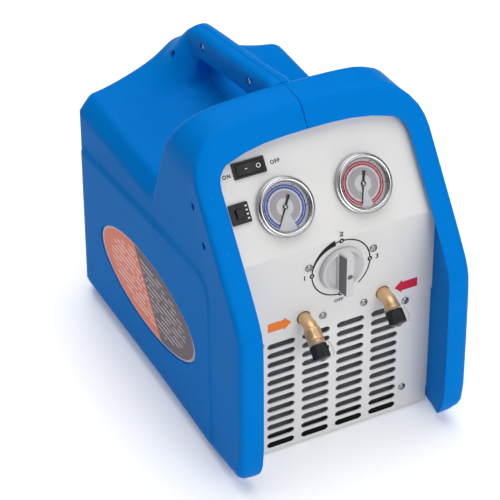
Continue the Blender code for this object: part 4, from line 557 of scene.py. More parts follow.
class Shape:
    """A mesh in one local frame, made from turned, extruded and lofted parts."""

    def __init__(self):
        self.data = bmesh.new()

    def loft(self, rings, closed_ends=True):
        """Skins rings of points, each with the same number of them."""
        made = [[self.data.verts.new(point) for point in ring] for ring in rings]
        for ring, following in zip(made, made[1:]):
            for index in range(len(ring)):
                after = (index + 1) % len(ring)
                self.data.faces.new((ring[index], ring[after], following[after], following[index]))
        if closed_ends:
            self.data.faces.new(made[0])
            self.data.faces.new(made[-1])
        return self

    def turned(self, profile, segments, ripple=None):
        """Revolves (radius, height) points about z. ripple changes a radius by its place and angle."""
        turns = [2 * pi * index / segments for index in range(segments)]
        rings = []
        for place, (radius, height) in enumerate(profile):
            radius = max(radius, 1e-5)
            ring = []
            for turn in turns:
                reach = ripple(radius, place, turn) if ripple else radius
                ring.append((reach * cos(turn), reach * sin(turn), height))
            rings.append(ring)
        return self.loft(rings, profile[0] != profile[-1])

    def plate(self, outline, low, high):
        return self.loft([[(x, y, z) for x, y in outline] for z in (low, high)])

    def mesh(self, place=None, smooth=None):
        bmesh.ops.remove_doubles(self.data, verts=self.data.verts, dist=1e-7)
        bmesh.ops.recalc_face_normals(self.data, faces=self.data.faces)
        mesh = made_mesh(self.data)
        if place is not None:
            mesh.transform(place)
        return mesh if smooth is None else shaded(mesh, smooth)


def oblong(left, right, low, high):
    return [(left, low), (right, low), (right, high), (left, high)]


def circle(radius, count, centre=(0.0, 0.0)):
    turns = [2 * pi * index / count for index in range(count)]
    return [(centre[0] + radius * cos(turn), centre[1] + radius * sin(turn)) for turn in turns]


def clock(reach, turn):
    """The point at that reach and that many radians clockwise from straight down."""
    return -reach * sin(turn), -reach * cos(turn)


def band(radius, width, start, end, count):
    """The outline of a ring's stretch between two clock angles. width may be a list."""
    outer, inner = [], []
    for index in range(count + 1):
        turn = start + (end - start) * index / count
        half = (width[index] if isinstance(width, list) else width) / 2
        outer.append(clock(radius + half, turn))
        inner.append(clock(radius - half, turn))
    return outer + inner[::-1]


def plain_mesh(obj):
    """The object's mesh after its modifiers. The object goes."""
    bpy.context.view_layer.update()
    graph = bpy.context.evaluated_depsgraph_get()
    mesh = bpy.data.meshes.new_from_object(obj.evaluated_get(graph))
    bpy.data.objects.remove(obj)
    return mesh


def words(text, height, place, thickness=0.00012):
    """Text as a mesh, its middle at the place and its face thickness proud of it."""
    curve = bpy.data.curves.new("words", "FONT")
    curve.body = text
    curve.size = height / CAPITAL
    curve.offset = height * 0.045
    curve.space_character = 1.16
    curve.align_x = curve.align_y = "CENTER"
    curve.extrude = thickness / 2
    curve.resolution_u = 3
    mesh = plain_mesh(linked("words", curve))
    bpy.data.curves.remove(curve)
    mesh.transform(place @ Matrix.Translation((0, 0, thickness / 2)))
    return mesh


def joined(meshes, slots=None):
    """One mesh from several. slots gives the place of each one's finish in the piece's list."""
    data = bmesh.new()
    for place, mesh in enumerate(meshes):
        start = len(data.faces)
        data.from_mesh(mesh)
        data.faces.ensure_lookup_table()
        for face in data.faces[start:]:
            face.material_index = slots[place] if slots else 0
        bpy.data.meshes.remove(mesh)
    return made_mesh(data)


# Geometry Nodes
class Grower:
    """A Geometry Nodes tree with named inputs that ends in Realize Instances and Set Material."""

    def __init__(self, name, inputs):
        self.tree = bpy.data.node_groups.new(name, "GeometryNodeTree")
        self.ids = {}
        sockets = self.tree.interface
        sockets.new_socket("Geometry", in_out="INPUT", socket_type="NodeSocketGeometry")
        for label, kind, default in inputs + [("Finish", "Material", None)]:
            socket = sockets.new_socket(label, in_out="INPUT", socket_type="NodeSocket" + kind)
            if default is not None:
                socket.default_value = default
            self.ids[label] = socket.identifier
        sockets.new_socket("Geometry", in_out="OUTPUT", socket_type="NodeSocketGeometry")
        self.given = self.tree.nodes.new("NodeGroupInput").outputs
        self.end = self.tree.nodes.new("NodeGroupOutput").inputs

    def add(self, kind, values, **settings):
        return add_node(self.tree, kind, values, settings)[0]

    def maths(self, operation, first, second):
        return self.add("ShaderNodeMath", {0: first, 1: second}, operation=operation)

    def copies(self, points, rotation=(0.0, 0.0, 0.0)):
        """Ends the tree with the base mesh on each of the points."""
        values = {"Points": points, "Instance": self.given["Geometry"], "Rotation": rotation}
        return self.close(self.add("GeometryNodeInstanceOnPoints", values))

    def close(self, geometry):
        real = self.add("GeometryNodeRealizeInstances", {"Geometry": geometry})
        done = self.add("GeometryNodeSetMaterial", {"Geometry": real, "Material": self.given["Finish"]})
        feed(self.tree, self.end[0], done)
        return self

    def grow(self, base, finish, **values):
        """The plain mesh that the tree makes from the base mesh with these values."""
        obj = linked("grown", base)
        modifier = obj.modifiers.new("grow", "NODES")
        modifier.node_group = self.tree
        modifier[self.ids["Finish"]] = of(finish)
        for label, value in values.items():
            modifier[self.ids[label.capitalize()]] = value
        return plain_mesh(obj)


def row_tree():
    """Copies of the base mesh in a row."""
    tree = Grower("Row of copies", [("Count", "Int", 2), ("Step", "Vector", (0.0, 0.0, 0.0))])
    values = {"Count": tree.given["Count"], "Offset": tree.given["Step"]}
    return tree.copies(tree.add("GeometryNodeMeshLine", values))


def round_tree():
    """Copies of the base mesh turned about z, from a start angle through a sweep."""
    inputs = [("Count", "Int", 2), ("Start", "Float", 0.0), ("Sweep", "Float", 1.0)]
    tree = Grower("Copies in the round", inputs)
    given = tree.given
    line = tree.add("GeometryNodeMeshLine", {"Count": given["Count"], "Offset": (0.0, 0.0, 0.0)})
    last = tree.maths("SUBTRACT", given["Count"], 1.0)
    part = tree.maths("DIVIDE", tree.add("GeometryNodeInputIndex", {}), last)
    turn = tree.maths("ADD", tree.maths("MULTIPLY", part, given["Sweep"]), given["Start"])
    return tree.copies(line, tree.add("ShaderNodeCombineXYZ", {"Z": turn}))


def coil_tree():
    """A round wire wound in a helix about z."""
    tree = Grower("Wound thread", [("Turns", "Float", 6.0), ("Radius", "Float", 0.006),
                                   ("Height", "Float", 0.008), ("Wire", "Float", 0.0004)])
    given = tree.given
    values = {"Resolution": 32, "Rotations": given["Turns"], "Start Radius": given["Radius"],
              "End Radius": given["Radius"], "Height": given["Height"]}
    spiral = tree.add("GeometryNodeCurveSpiral", values)
    profile = tree.add("GeometryNodeCurvePrimitiveCircle", {"Resolution": 6, "Radius": given["Wire"]})
    values = {"Curve": spiral, "Profile Curve": profile, "Fill Caps": True}
    return tree.close(tree.add("GeometryNodeCurveToMesh", values))


def place_tree():
    """Copies of the base mesh on the corners of another object, facing as its corners say."""
    tree = Grower("Copies on places", [("Places", "Object", None), ("Turn", "Float", 0.0)])
    values, settings = {"Object": tree.given["Places"]}, {"transform_space": "ORIGINAL"}
    corners = add_node(tree.tree, "GeometryNodeObjectInfo", values, settings)["Geometry"]
    facing = tree.add("GeometryNodeInputNamedAttribute", {"Name": "facing"}, data_type="FLOAT_VECTOR")
    aimed = tree.add("FunctionNodeAlignRotationToVector", {"Vector": facing}, axis="Z")
    each = tree.maths("MULTIPLY", tree.add("GeometryNodeInputIndex", {}), tree.given["Turn"])
    own = tree.add("FunctionNodeAxisAngleToRotation", {"Axis": (0.0, 0.0, 1.0), "Angle": each})
    values = {"Rotation": aimed, "Rotate By": own}
    return tree.copies(corners, tree.add("FunctionNodeRotateRotation", values, rotation_space="LOCAL"))


class LookOperator:
    """What the operators share: undo, and the scene's settings."""

    bl_options = {"REGISTER", "UNDO"}

    @property
    def settings(self):
        return bpy.context.scene.recovery_machine


# Stage
class DressStage(LookOperator, bpy.types.Operator):
    """Make the floor, the lights and the camera"""

    bl_idname = "recovery_machine.stage"
    bl_label = "Stage"

    def execute(self, context):
        look = self.settings.stage
        scene = context.scene
        scene.view_settings.view_transform = "Standard"
        shade = tuple(look.floor)
        finish = Finish("floor_paint", None, shade, 0.55, specular=0.1)
        finish.set("Base Color", finish.mix(finish.noise(0.5, 2.0), darker(shade, 0.995), shade))
        finish.set("Emission Color", (1.0, 1.0, 1.0, 1.0))
        finish.set("Emission Strength", look.glow)
        floor = linked("floor", Shape().plate(oblong(-6, 6, -6, 8), -0.02, 0.0).mesh())
        floor.data.materials.append(finish.material)
        scene.world = self.sky(look.sky)
        middle = Vector((0, 0, 0.17))
        for name, place, width, watts in (
            ("key", (0.1, -3.0, 1.5), 1.6, look.key),
            ("side", (1.4, -2.6, 1.3), 1.6, look.side),
            ("top", (0.2, 0.2, 3.0), 3.4, look.top),
            ("back", (0.3, 2.2, 2.6), 2.0, look.back),
        ):
            lamp = bpy.data.lights.new(name, "AREA")
            lamp.energy, lamp.size = watts, width
            light = linked(name, lamp)
            light.location = place
            light.rotation_euler = (middle - Vector(place)).to_track_quat("-Z", "Y").to_euler()
        camera = bpy.data.cameras.new("camera")
        camera.lens, camera.sensor_width, camera.clip_end = look.lens, 36.0, 30.0
        scene.camera = linked("camera", camera)
        scene.camera.location = (-0.979869, -1.895419, 1.733995)
        scene.camera.rotation_euler = [radians(turn) for turn in (53.13609, 0.1505961, -27.0145471)]
        return {"FINISHED"}

    def sky(self, strength):
        """Dark at the horizon and bright overhead, as in a studio with a soft ceiling."""
        world = bpy.data.worlds.new("soft_sky")
        world.use_nodes = True
        tree = world.node_tree
        way = add_node(tree, "ShaderNodeTexCoord", {}, {})["Generated"]
        up = add_node(tree, "ShaderNodeSeparateXYZ", {0: way}, {})["Z"]
        values = {"Value": up, "From Min": 0.1, "From Max": 0.95, "To Min": 0.0, "To Max": strength}
        rise = add_node(tree, "ShaderNodeMapRange", values, {"interpolation_type": "SMOOTHSTEP"})["Result"]
        background = tree.nodes["Background"].inputs
        feed(tree, background["Color"], (1, 1, 1, 1))
        feed(tree, background["Strength"], rise)
        return world


# Housing
class DressHousing(LookOperator, bpy.types.Operator):
    """Finish the half shells, the base and the feet"""

    bl_idname = "recovery_machine.housing"
    bl_label = "Housing"

    def execute(self, context):
        for node in ("left_shell", "right_shell"):
            skin = even_skin(node, edge=0.007, reach=0.006, sharp=42.0)
            piece(node + "_skin", skin, "shell_plastic", replaced=[node])
        # Painted shade: the base plate is near black, for the shade seen through the lowest slots
        refined("base_plate", "black_steel", 0.0003)
        for corner in ("front_left", "front_right", "rear_left", "rear_right"):
            refined("foot_" + corner, "rubber", 0.0004)
        return {"FINISHED"}


# Panels
class DressPanels(LookOperator, bpy.types.Operator):
    """Finish the painted panels and print the ring, the arrows and the switch words on them"""

    bl_idname = "recovery_machine.panels"
    bl_label = "Panels"

    def execute(self, context):
        for node in ("control_panel", "grille_panel", "rear_panel"):
            refined(node, "panel_paint", 0.0003, smooth=28.0)
        self.ring()
        self.arrows()
        self.switch_words()
        return {"FINISHED"}

    def ring(self):
        """The ring round the knob, its wedge and its dots, each with a light hole."""
        look = self.settings.panel
        radius, width = look.ring_radius, look.ring_width
        swell = [width + look.wedge_width * (step / 26) ** 1.3 for step in range(27)]
        ring, holes = Shape(), Shape()
        for start, end, wide, count in ((0, 96, width, 40), (168, 322, width, 60), (96, 168, swell, 26)):
            ring.plate(band(radius, wide, radians(start), radians(end), count), PRINT_LOW, PRINT_HIGH)
        for turn in (0, 90, 180, 270):
            centre = clock(radius, radians(turn))
            ring.plate(circle(look.dot_radius, 24, centre), PRINT_LOW, OVERPRINT)
            holes.plate(circle(look.dot_radius * 0.34, 16, centre), PRINT_LOW, OVERPRINT + 0.00003)
        place = upright(KNOB_X, KNOB_Z)
        piece("selector_ring", ring.mesh(place), "ink")
        piece("selector_dots", holes.mesh(place), "panel_paint")

    def arrows(self):
        look = self.settings.panel
        half, length = look.arrow_height / 2, look.arrow_length
        neck, body = length - look.arrow_height * 0.52, half * 0.68
        outline = [(0, body), (0, -body), (neck, -body), (neck, -half), (length, 0.0), (neck, half),
                   (neck, body)]
        for word, x, way in (("inlet", -0.073, 1), ("outlet", 0.092, -1)):
            points = [(way * across, up) for across, up in outline]
            arrow = Shape().plate(points, PRINT_LOW, PRINT_HIGH).mesh(upright(x, PORT_Z))
            piece(word + "_arrow", arrow, word + "_ink")

    def switch_words(self):
        """ON and OFF beside the rocker, and the knob's positions round its ring."""
        look = self.settings.panel
        height, reach = look.word_height, look.ring_radius
        made = [words("ON", height, leaning(-0.0900, 0.0862)), words("OFF", height, leaning(-0.0385, 0.0878))]
        for text, scale, x, up in (
            ("OFF", 1.0, -0.0018, -reach - 0.0074),
            ("1", 1.4, -reach - 0.0080, 0.0),
            ("2", 1.4, 0.0, reach + 0.0078),
            ("3", 1.4, reach + 0.0080, 0.0),
        ):
            made.append(words(text, height * scale, upright(KNOB_X + x, KNOB_Z + up)))
        piece("panel_words", joined(made), "ink")


# Gauges
class DressGauges(LookOperator, bpy.types.Operator):
    """Make the gauges' rims, lenses, printed dials and needles"""

    bl_idname = "recovery_machine.gauges"
    bl_label = "Gauges"

    def execute(self, context):
        look = self.settings.gauge
        rounds = round_tree()
        for side, ink, start, sweep, step, inner_step in (
            ("left", "low_ink", radians(33.0), look.low_sweep, 100, 10),
            ("right", "high_ink", radians(20.0), look.high_sweep, 160, 20),
        ):
            place = leaning(JOINTS[side + "_needle_turn"]["pos_m"][0], GAUGE_UP)
            self.rim(side, place)
            self.dial(side, place, ink, start, sweep, step, inner_step, rounds)
            refined(side + "_gauge_case", "zinc", 0.0002)
            self.needle(side, place @ Matrix.Rotation(-start, 4, "Z"))
        return {"FINISHED"}

    def rim(self, side, place):
        """The rolled bezel, with the wall inside it and the groove round it in a darker chrome as painted shade,
        and the lens.
        """
        bezel = [
            (0.0250, 0.0016), (0.0289, 0.0016), (0.0293, 0.0020), (0.0293, 0.0048), (0.0291, 0.0053),
            (0.0286, 0.0055), (0.0284, 0.0060), (0.0283, 0.0069), (0.0279, 0.0077), (0.0272, 0.0082),
            (0.0264, 0.0084), (0.0256, 0.0083), (0.0250, 0.0080), (0.0247, 0.0076), (0.0250, 0.0074),
            (0.0250, 0.0016),
        ]
        wall = [(0.0247, 0.0077), (0.0237, 0.0064), (0.0237, 0.00605), (0.0250, 0.00605), (0.0250, 0.0074),
                (0.0247, 0.0077)]
        groove = [(0.02865, 0.0053), (0.0292, 0.0053), (0.0292, 0.00565), (0.0284, 0.0059), (0.02865, 0.0053)]
        meshes = [Shape().turned(line, 96).mesh(place, 50.0) for line in (bezel, wall, groove)]
        rim = joined(meshes, [0, 1, 1])
        piece(side + "_rim", rim, "chrome dark_chrome", replaced=[side + "_gauge_bezel"])
        glass = [(0.0, 0.0047), (0.0245, 0.0047), (0.0248, 0.0050), (0.0248, 0.0056), (0.0245, 0.0059),
                 (0.0, 0.0059)]
        lens = Shape().turned(glass, 72).mesh(place, 40.0)
        piece(side + "_lens", lens, "gauge_lens", replaced=[side + "_gauge_lens"])

    def needle(self, side, place):
        """The pointer, its tail and hub, and the small cap in its middle."""
        body = side + "_needle"
        low, high = 0.0024, 0.0031
        blade = Shape()
        blade.plate([(-0.0008, 0.0), (-0.0003, -0.0196), (0.0003, -0.0196), (0.0008, 0.0)], low, high)
        blade.plate([(-0.0009, 0.0), (0.0009, 0.0), (0.0014, 0.0124), (-0.0014, 0.0124)], low, high)
        blade.plate(circle(0.0025, 32), low, high + 0.0002)
        piece(body + "_blade", blade.mesh(place), "needle_paint", body, [side + "_gauge_needle"])
        profile = [(0.0, 0.0030), (0.0017, 0.0030), (0.0017, 0.0036), (0.0012, 0.0040), (0.0005, 0.0040),
                   (0.0004, 0.0037), (0.0, 0.0037)]
        piece(body + "_cap", Shape().turned(profile, 24).mesh(place, 40.0), "chrome", body)

    def dial(self, side, place, ink, start, sweep, step, inner_step, rounds):
        """The dial, its outer scale of two coloured bands and its inner scale on one grey band."""
        look = self.settings.gauge
        face = 0.0018
        low, high, top = face, face + 0.00006, face + 0.00010
        end = start + sweep

        def ticks(width, count, outer, inner, proud):
            mark = Shape().plate(oblong(-width / 2, width / 2, -inner, -outer), low, proud).mesh()
            mesh = rounds.grow(mark, ink, count=count, start=-start, sweep=-sweep)
            mesh.transform(place)
            return mesh

        def figures(numbers, of_step, reach, height, thickness):
            places = [(*clock(reach, start + sweep * number / look.steps), low) for number in numbers]
            return [words(str(of_step * number), height, place @ Matrix.Translation(spot), thickness)
                    for number, spot in zip(numbers, places)]

        profile = [(0.0, 0.0010), (0.0249, 0.0010), (0.0249, 0.0017), (0.0248, face), (0.0, face)]
        disc = Shape().turned(profile, 72).mesh(place, 40.0)
        piece(side + "_dial", disc, "dial_enamel", replaced=[side + "_gauge_dial"])
        outer, wide = look.outer_radius, look.outer_width
        rings = Shape()
        for middle, width in ((0.19, 0.38), (0.79, 0.42)):
            rings.plate(band(outer - wide * middle, wide * width, start, end, 90), low, high)
        meshes = [
            rings.mesh(place),
            ticks(0.00042, look.ticks, outer, outer - wide * 0.8, high),
            ticks(0.0007, look.steps * 2 + 1, outer, outer - wide - 0.0005, high),
        ]
        meshes += figures(range(look.steps + 1), step, outer + 0.0013, 0.0014, 0.00006)
        piece(side + "_outer_scale", joined(meshes), ink)
        inner, deep = look.inner_radius, look.inner_width
        lines = Shape()
        for depth, width in ((0.0, 0.0006), (0.36, 0.0004), (1.0, 0.0006)):
            lines.plate(band(inner - deep * depth, width, start, end, 72), low, top)
        meshes = [
            Shape().plate(band(inner - deep / 2, deep, start, end, 72), low, high).mesh(place),
            lines.mesh(place),
            ticks(0.0004, 49, inner, inner - deep * 0.30, top),
            ticks(0.0009, 21, inner, inner - deep * 0.36, top),
        ]
        meshes += figures(range(1, look.steps), inner_step, inner - deep * 0.86, 0.0023, 0.0001)
        scale = joined(meshes, [0] + [1] * (len(meshes) - 1))
        piece(side + "_inner_scale", scale, "inner_band inner_ink")


# Knob, switch and breaker
class DressControls(LookOperator, bpy.types.Operator):
    """Finish the selector knob, the rocker switch and the breaker"""

    bl_idname = "recovery_machine.controls"
    bl_label = "Controls"

    def execute(self, context):
        knob = refined("selector_knob", "knob_plastic", 0.0006, "knob", 30.0, 3)
        knob.data.materials.append(of("grip_plastic"))
        # Painted shade: side walls facing left or right take the darker grip colour, as if in shadow
        for face in knob.data.polygons:
            on_grip = abs(face.center.x - KNOB_X) < 0.0068 and face.center.y < PANEL_Y - 0.005
            if on_grip and abs(face.normal.x) > 0.8:
                face.material_index = 1
        # Painted shade: the knob's screw is dark, for the shade in its hole
        refined("knob_screw", "dark_steel", 0.0002, "knob")
        refined("valve_stem", "zinc", body="knob")
        refined("rocker_housing", "black_plastic", 0.0003)
        refined("rocker", "black_plastic", 0.0003, "rocker")
        refined("breaker_body", "black_plastic", 0.0003)
        refined("breaker_button", "black_plastic", 0.0002, "breaker_button")
        self.rocker_marks()
        marks = Shape()
        for up in (-0.0060, -0.0020, 0.0020, 0.0060):
            marks.plate(oblong(0.0064, 0.0084, up - 0.0007, up + 0.0007), 0.00222, 0.00232)
        piece("breaker_marks", marks.mesh(leaning(-0.0875, BREAKER_UP)), "switch_ink")
        return {"FINISHED"}

    def rocker_marks(self):
        """A ring for off and a dash for on, each laid on the rocker's face."""
        data = bmesh.new()
        data.from_mesh(NODES["rocker"].data)
        surface = BVHTree.FromBMesh(data)
        data.free()
        height = 0.00012
        profile = [(0.0022, 0.0), (0.0022, height), (0.0015, height), (0.0015, 0.0), (0.0022, 0.0)]
        ring = Shape().turned(profile, 28)
        dash = Shape().plate(oblong(-0.0012, 0.0012, -0.0003, 0.0003), 0.0, height)
        marks = [shape.mesh(self.laid(surface, x)) for shape, x in ((ring, 0.0088), (dash, -0.0030))]
        piece("rocker_marks", joined(marks), "switch_ink", "rocker")

    def laid(self, surface, x):
        """The frame on the rocker where a line straight into the panel meets it, x from its middle."""
        panel = leaning(JOINTS["rocker_tilt"]["pos_m"][0], ROCKER_UP)
        out, up = panel.col[2].xyz, panel.col[1].xyz
        point, normal, _, _ = surface.ray_cast(panel @ Vector((x, 0.0, 0.02)), -out)
        if point is None:
            raise RuntimeError("the rocker has no face under its mark")
        normal = normal if normal.dot(out) > 0 else -normal
        right = up.cross(normal).normalized()
        return axes_frame(right, normal.cross(right), normal, point + normal * 0.00003)


# Ports
class DressPorts(LookOperator, bpy.types.Operator):
    """Make the brass elbows with their threads, the ribbed caps and the straps"""

    bl_idname = "recovery_machine.ports"
    bl_label = "Ports"

    def execute(self, context):
        coils = coil_tree()
        for word, x, reach, leg in (("inlet", -0.034, 0.009, 0.0155), ("outlet", 0.053, 0.010, 0.0055)):
            shoulder = self.elbow(word, x, reach, leg, coils)
            self.cap(word, shoulder)
            refined(word + "_cap_strap", "strap_plastic", 0.0002, word + "_cap")
        return {"FINISHED"}

    def elbow(self, word, x, reach, leg, coils):
        """Makes the elbow: out by reach, down round its bend, and a leg. Gives the frame at its shoulder."""
        look = self.settings.fitting
        bend, bend_radius = radians(40.0), 0.010
        tube, swell, hexagon, hex_edge, ridge, ridge_edge, thread = (
            0.0066, 0.0009, 0.0087, 0.0083, 0.0084, 0.0081, 0.0057)
        start = Vector((x, PANEL_Y - reach, PORT_Z))
        inner = Vector((x, PANEL_Y + 0.0138, PORT_Z))
        # Where the ring is, its way, its radius, and from 0 to 1 how far it is six-sided
        stations = [(inner, AHEAD, tube, 0.0), (start - AHEAD * 0.0004, AHEAD, tube, 0.0)]
        for step in range(1, 9):
            turn = bend * step / 8
            arm = Vector((0, -sin(turn), cos(turn) - 1)) * bend_radius
            way = Vector((0, -cos(turn), -sin(turn)))
            stations.append((start + arm, way, tube + swell * step / 8, 0.0))
        shoulder = stations[-1][0] + way * leg
        collar = min(0.0035, leg * 0.6)
        # The same along the leg, from the shoulder
        rows = []
        if leg - collar > 0.004:
            rows += [(0.0006 - leg, hex_edge, 0.6), (0.0016 - leg, hexagon, 1.0),
                     (-collar - 0.0014, hexagon, 1.0), (-collar - 0.0006, hex_edge, 0.6)]
        rows += [
            (-collar, 0.0074, 0.0), (-collar * 0.9, ridge_edge, 0.3), (-collar * 0.82, ridge, 0.0),
            (-collar * 0.08, ridge, 0.0), (0.0, ridge_edge, 0.0), (0.0, thread, 0.0), (0.009, thread, 0.0),
            (0.011, 0.0041, 0.0), (0.011, 0.0025, 0.0), (0.0, 0.0024, 0.0),
        ]
        stations += [(shoulder + way * along, way, radius, flats) for along, radius, flats in rows]
        body = Shape().loft([self.ring(*station) for station in stations]).mesh(None, 32.0)
        place = axes_frame(RIGHT, way.cross(RIGHT), way, shoulder)
        seed = Shape().plate(circle(0.001, 3), 0.0, 0.001).mesh()
        length = 0.0072
        turns = length / look.thread_pitch
        coil = coils.grow(seed, "brass", turns=turns, radius=0.0056, height=length, wire=0.00042)
        coil.transform(place @ Matrix.Translation((0, 0, 0.0010)))
        coil.shade_smooth()
        piece(word + "_elbow", joined([body, coil]), "brass", replaced=[word + "_fitting"])
        return place

    def ring(self, centre, way, radius, flats):
        """A ring of points across the elbow, from round to six-sided."""
        look = self.settings.fitting
        other = way.cross(RIGHT)
        points = []
        for index in range(48):
            turn = 2 * pi * index / 48
            flat = radius * look.flat / cos(turn % (pi / 3) - pi / 6)
            here = min(radius, radius * (1 - flats) + flat * flats)
            points.append(centre + RIGHT * here * cos(turn) + other * here * sin(turn))
        return points

    def cap(self, word, place):
        """A hollow cap with grip ribs, and the strap's pin on its end."""
        foot, top, floor = 0.0018, 0.0163, 0.0133
        bore, wall, step = 0.0063, 0.0087, 0.0088
        ribs, ribbed = self.settings.fitting.cap_ribs, (7, 8, 9)
        profile = [
            (0.0, floor), (0.0061, floor), (bore, floor - 0.0006), (bore, foot), (0.0083, foot),
            (wall, foot + 0.0005), (wall, foot + 0.0014), (step, foot + 0.0018), (step, top - 0.0022),
            (wall, top - 0.0016), (0.0086, top - 0.0008), (0.0076, top), (0.0030, top),
            (0.0028, top + 0.0003), (0.0027, top + 0.0014), (0.0021, top + 0.0019), (0.0, top + 0.0019),
        ]

        def ripple(radius, stage, turn):
            return radius - 0.00042 * (0.5 - 0.5 * cos(turn * ribs)) ** 0.7 if stage in ribbed else radius

        mesh = Shape().turned(profile, ribs * 6, ripple).mesh(place, 35.0)
        piece(word + "_cap_ribbed", mesh, "cap_plastic", word + "_cap", [word + "_cap"])


# Screws
class DressScrews(LookOperator, bpy.types.Operator):
    """Make the cross-head screws of the panels, the grille and the handle"""

    bl_idname = "recovery_machine.screws"
    bl_label = "Screws"

    def execute(self, context):
        names = sorted(name for name in NODES if "_screw" in name and name != "knob_screw")
        corners, facing = [], []
        for name in names:
            low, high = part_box(name)
            middle = (low + high) / 2
            if name.startswith("handle"):
                middle.x = low.x + 0.0008
                facing += (-1.0, 0.0, 0.0)
            else:
                middle.y = low.y + 0.0022
                facing += (0.0, -1.0, 0.0)
            corners.append(middle)
        mesh = bpy.data.meshes.new("screw_places")
        mesh.from_pydata(corners, [], [])
        mesh.attributes.new("facing", "FLOAT_VECTOR", "POINT").data.foreach_set("vector", facing)
        places = linked("screw_places", mesh)
        places.hide_render = True
        tree = place_tree()
        heads = shaded(tree.grow(self.head(), "screw_steel", places=places, turn=0.7), 40)
        crosses = tree.grow(self.cross(), "bore_shadow", places=places, turn=0.7)
        bpy.data.objects.remove(places)
        mesh = joined([heads, crosses], [0, 1])
        # Painted highlight: the handle's screw heads take the lighter steel as their glint
        for face in mesh.polygons:
            on_handle = face.center.y > 0
            if on_handle and face.material_index == 0:
                face.material_index = 2
        piece("cross_head_screws", mesh, "screw_steel bore_shadow handle_steel", replaced=names)
        return {"FINISHED"}

    def cross(self):
        """The cross recess's floor, near black as painted shade."""
        wide, long = 0.00055, 0.0022
        outline = [(wide, wide), (wide, long), (-wide, long), (-wide, wide), (-long, wide), (-long, -wide),
                   (-wide, -wide), (-wide, -long), (wide, -long), (wide, -wide), (long, -wide), (long, wide)]
        return Shape().plate(outline, 0.0005, 0.0014).mesh()

    def head(self):
        """A pan head with a cross recess, its shank below z = 0."""
        edge, count = 0.0040, 48
        crown, fall, recess = 0.0022, 0.0011, 0.0013
        arm_end, arm_half = 0.0026, 0.00066
        rings = []
        for radius in (1e-5, 0.0007, 0.0013, 0.0019, 0.0025, 0.0031, 0.0036):
            dome = crown - fall * (radius / edge) ** 2.4
            inside = min(1.0, max(0.0, (arm_end - radius) / 0.0006))
            ring = []
            for x, y in circle(radius, count):
                in_arm = min(1.0, max(0.0, (arm_half - min(abs(x), abs(y))) / 0.00018))
                ring.append((x, y, dome - recess * in_arm * inside))
            rings.append(ring)
        for radius, height in ((edge, 0.0009), (edge, 0.0003), (0.0018, 0.0003), (0.0018, -0.0050)):
            rings.append([(x, y, height) for x, y in circle(radius, count)])
        return Shape().loft(rings).mesh()


# Inside
TUBE = circle(0.0042, 20)


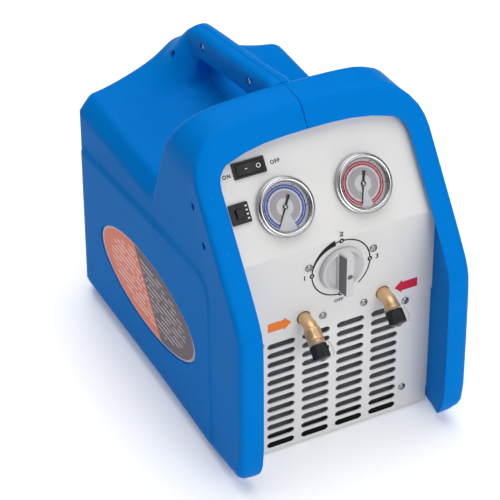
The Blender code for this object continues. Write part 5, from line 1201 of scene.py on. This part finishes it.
class DressInside(LookOperator, bpy.types.Operator):
    """Make the condenser's fins and tubes, and finish the fan, the compressor and the rest inside"""

    bl_idname = "recovery_machine.inside"
    bl_label = "Inside"

    def execute(self, context):
        self.condenser()
        # A near-black sheet behind the grille's lowest slots, a painted shade that makes them look dark
        outline = oblong(-0.0950, 0.0950, PANEL_Y + 0.0020, PANEL_Y + 0.0052)
        piece("foam_strip", Shape().plate(outline, 0.0048, 0.0166).mesh(), "foam")
        castings = "left_crankcase right_crankcase left_cylinder_head right_cylinder_head run_capacitor valve_block"
        for finish, nodes in (
            ("black_plastic", "fan_shroud"),
            ("motor_paint", "fan_motor compressor_motor"),
            ("zinc", "compressor_cradle"),
            ("aluminium", castings),
            ("black_plastic", "power_inlet"),
        ):
            for node in nodes.split():
                refined(node, finish, 0.0003)
        for node in ("discharge_tube", "liquid_tube", "suction_tube"):
            refined(node, "copper")
        refined("fan_rotor", "black_plastic", 0.0002, "fan")
        return {"FINISHED"}

    def condenser(self):
        """Fins in a row between two end plates, with four tubes through them and three return bends."""
        look = self.settings.inside
        low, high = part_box("condenser_coil")
        half, inset = 0.094, 0.0012
        thick = look.fin_thickness / 2
        count = int((2 * half - 0.004) / look.fin_pitch)
        start = -look.fin_pitch * (count - 1) / 2
        outline = oblong(start - thick, start + thick, low.y + inset, high.y - inset)
        fin = Shape().plate(outline, low.z + inset, high.z - inset).mesh()
        fins = row_tree().grow(fin, "fin_aluminium", count=count, step=(look.fin_pitch, 0.0, 0.0))
        plates, tubes = Shape(), Shape()
        for side in (-1, 1):
            plates.plate(oblong(side * half, side * (half + 0.0013), low.y, high.y), low.z, high.z)
        rows = [low.z + (high.z - low.z) * (index + 0.5) / 4 for index in range(4)]
        middle = (low.y + high.y) / 2
        for z in rows:
            tubes.loft([[(x, middle + v, z + w) for v, w in TUBE] for x in (-half - 0.004, half + 0.004)])
        for side, lower, upper in zip((-1, 1, -1), rows, rows[1:]):
            tubes.loft(self.return_bend(side, half, middle, lower, upper))
        mesh = joined([fins, plates.mesh(), tubes.mesh(None, 40.0)], [0, 0, 1])
        piece("condenser_core", mesh, "fin_aluminium copper", replaced=["condenser_coil"])

    def return_bend(self, side, half, middle, low, high):
        """Rings along a tube that leaves one row, turns two round corners and comes back in the next."""
        corner = 0.009
        reach = half + 0.0135 - corner
        path = [(half, low)]
        for centre, first in ((low + corner, -90), (high - corner, 0)):
            turns = [radians(first + 15 * step) for step in range(7)]
            path += [(reach + corner * cos(turn), centre + corner * sin(turn)) for turn in turns]
        path.append((half, high))
        rings = []
        for index, (x, z) in enumerate(path):
            before, after = path[max(index - 1, 0)], path[min(index + 1, len(path) - 1)]
            way = Vector((after[0] - before[0], after[1] - before[1])).normalized()
            rings.append([(side * (x - way.y * v), middle + w, z + way.x * v) for v, w in TUBE])
        return rings


class LookPanel(bpy.types.Panel):
    """Lists the steps that dress the machine"""

    bl_idname = "VIEW3D_PT_recovery_machine"
    bl_label = "Recovery Machine"
    bl_space_type = "VIEW_3D"
    bl_region_type = "UI"
    bl_category = "Recovery Machine"

    def draw(self, context):
        settings = context.scene.recovery_machine
        for step in STEPS:
            self.layout.operator(step.bl_idname)
        for name in MachineLooks.__annotations__:
            box = self.layout.box()
            group = getattr(settings, name)
            for look in group.__annotations__:
                box.prop(group, look)


class MachineLooks(bpy.types.PropertyGroup):
    housing: PointerProperty(type=HousingLook)
    panel: PointerProperty(type=PanelLook)
    gauge: PointerProperty(type=GaugeLook)
    fitting: PointerProperty(type=FittingLook)
    inside: PointerProperty(type=InsideLook)
    stage: PointerProperty(type=StageLook)


STEPS = (
    DressStage, DressHousing, DressPanels, DressGauges, DressControls, DressPorts, DressScrews, DressInside,
)
GROUPS = (HousingLook, PanelLook, GaugeLook, FittingLook, InsideLook, StageLook, MachineLooks)


def register():
    for cls in GROUPS + STEPS + (LookPanel,):
        bpy.utils.register_class(cls)
    bpy.types.Scene.recovery_machine = PointerProperty(type=MachineLooks)


def unregister():
    del bpy.types.Scene.recovery_machine
    for cls in reversed(GROUPS + STEPS + (LookPanel,)):
        bpy.utils.unregister_class(cls)


def main():
    register()
    make_finishes(bpy.context.scene.recovery_machine)
    for step in STEPS:
        group, name = step.bl_idname.split(".")
        getattr(getattr(bpy.ops, group), name)()


if __name__ == "__main__":
    main()
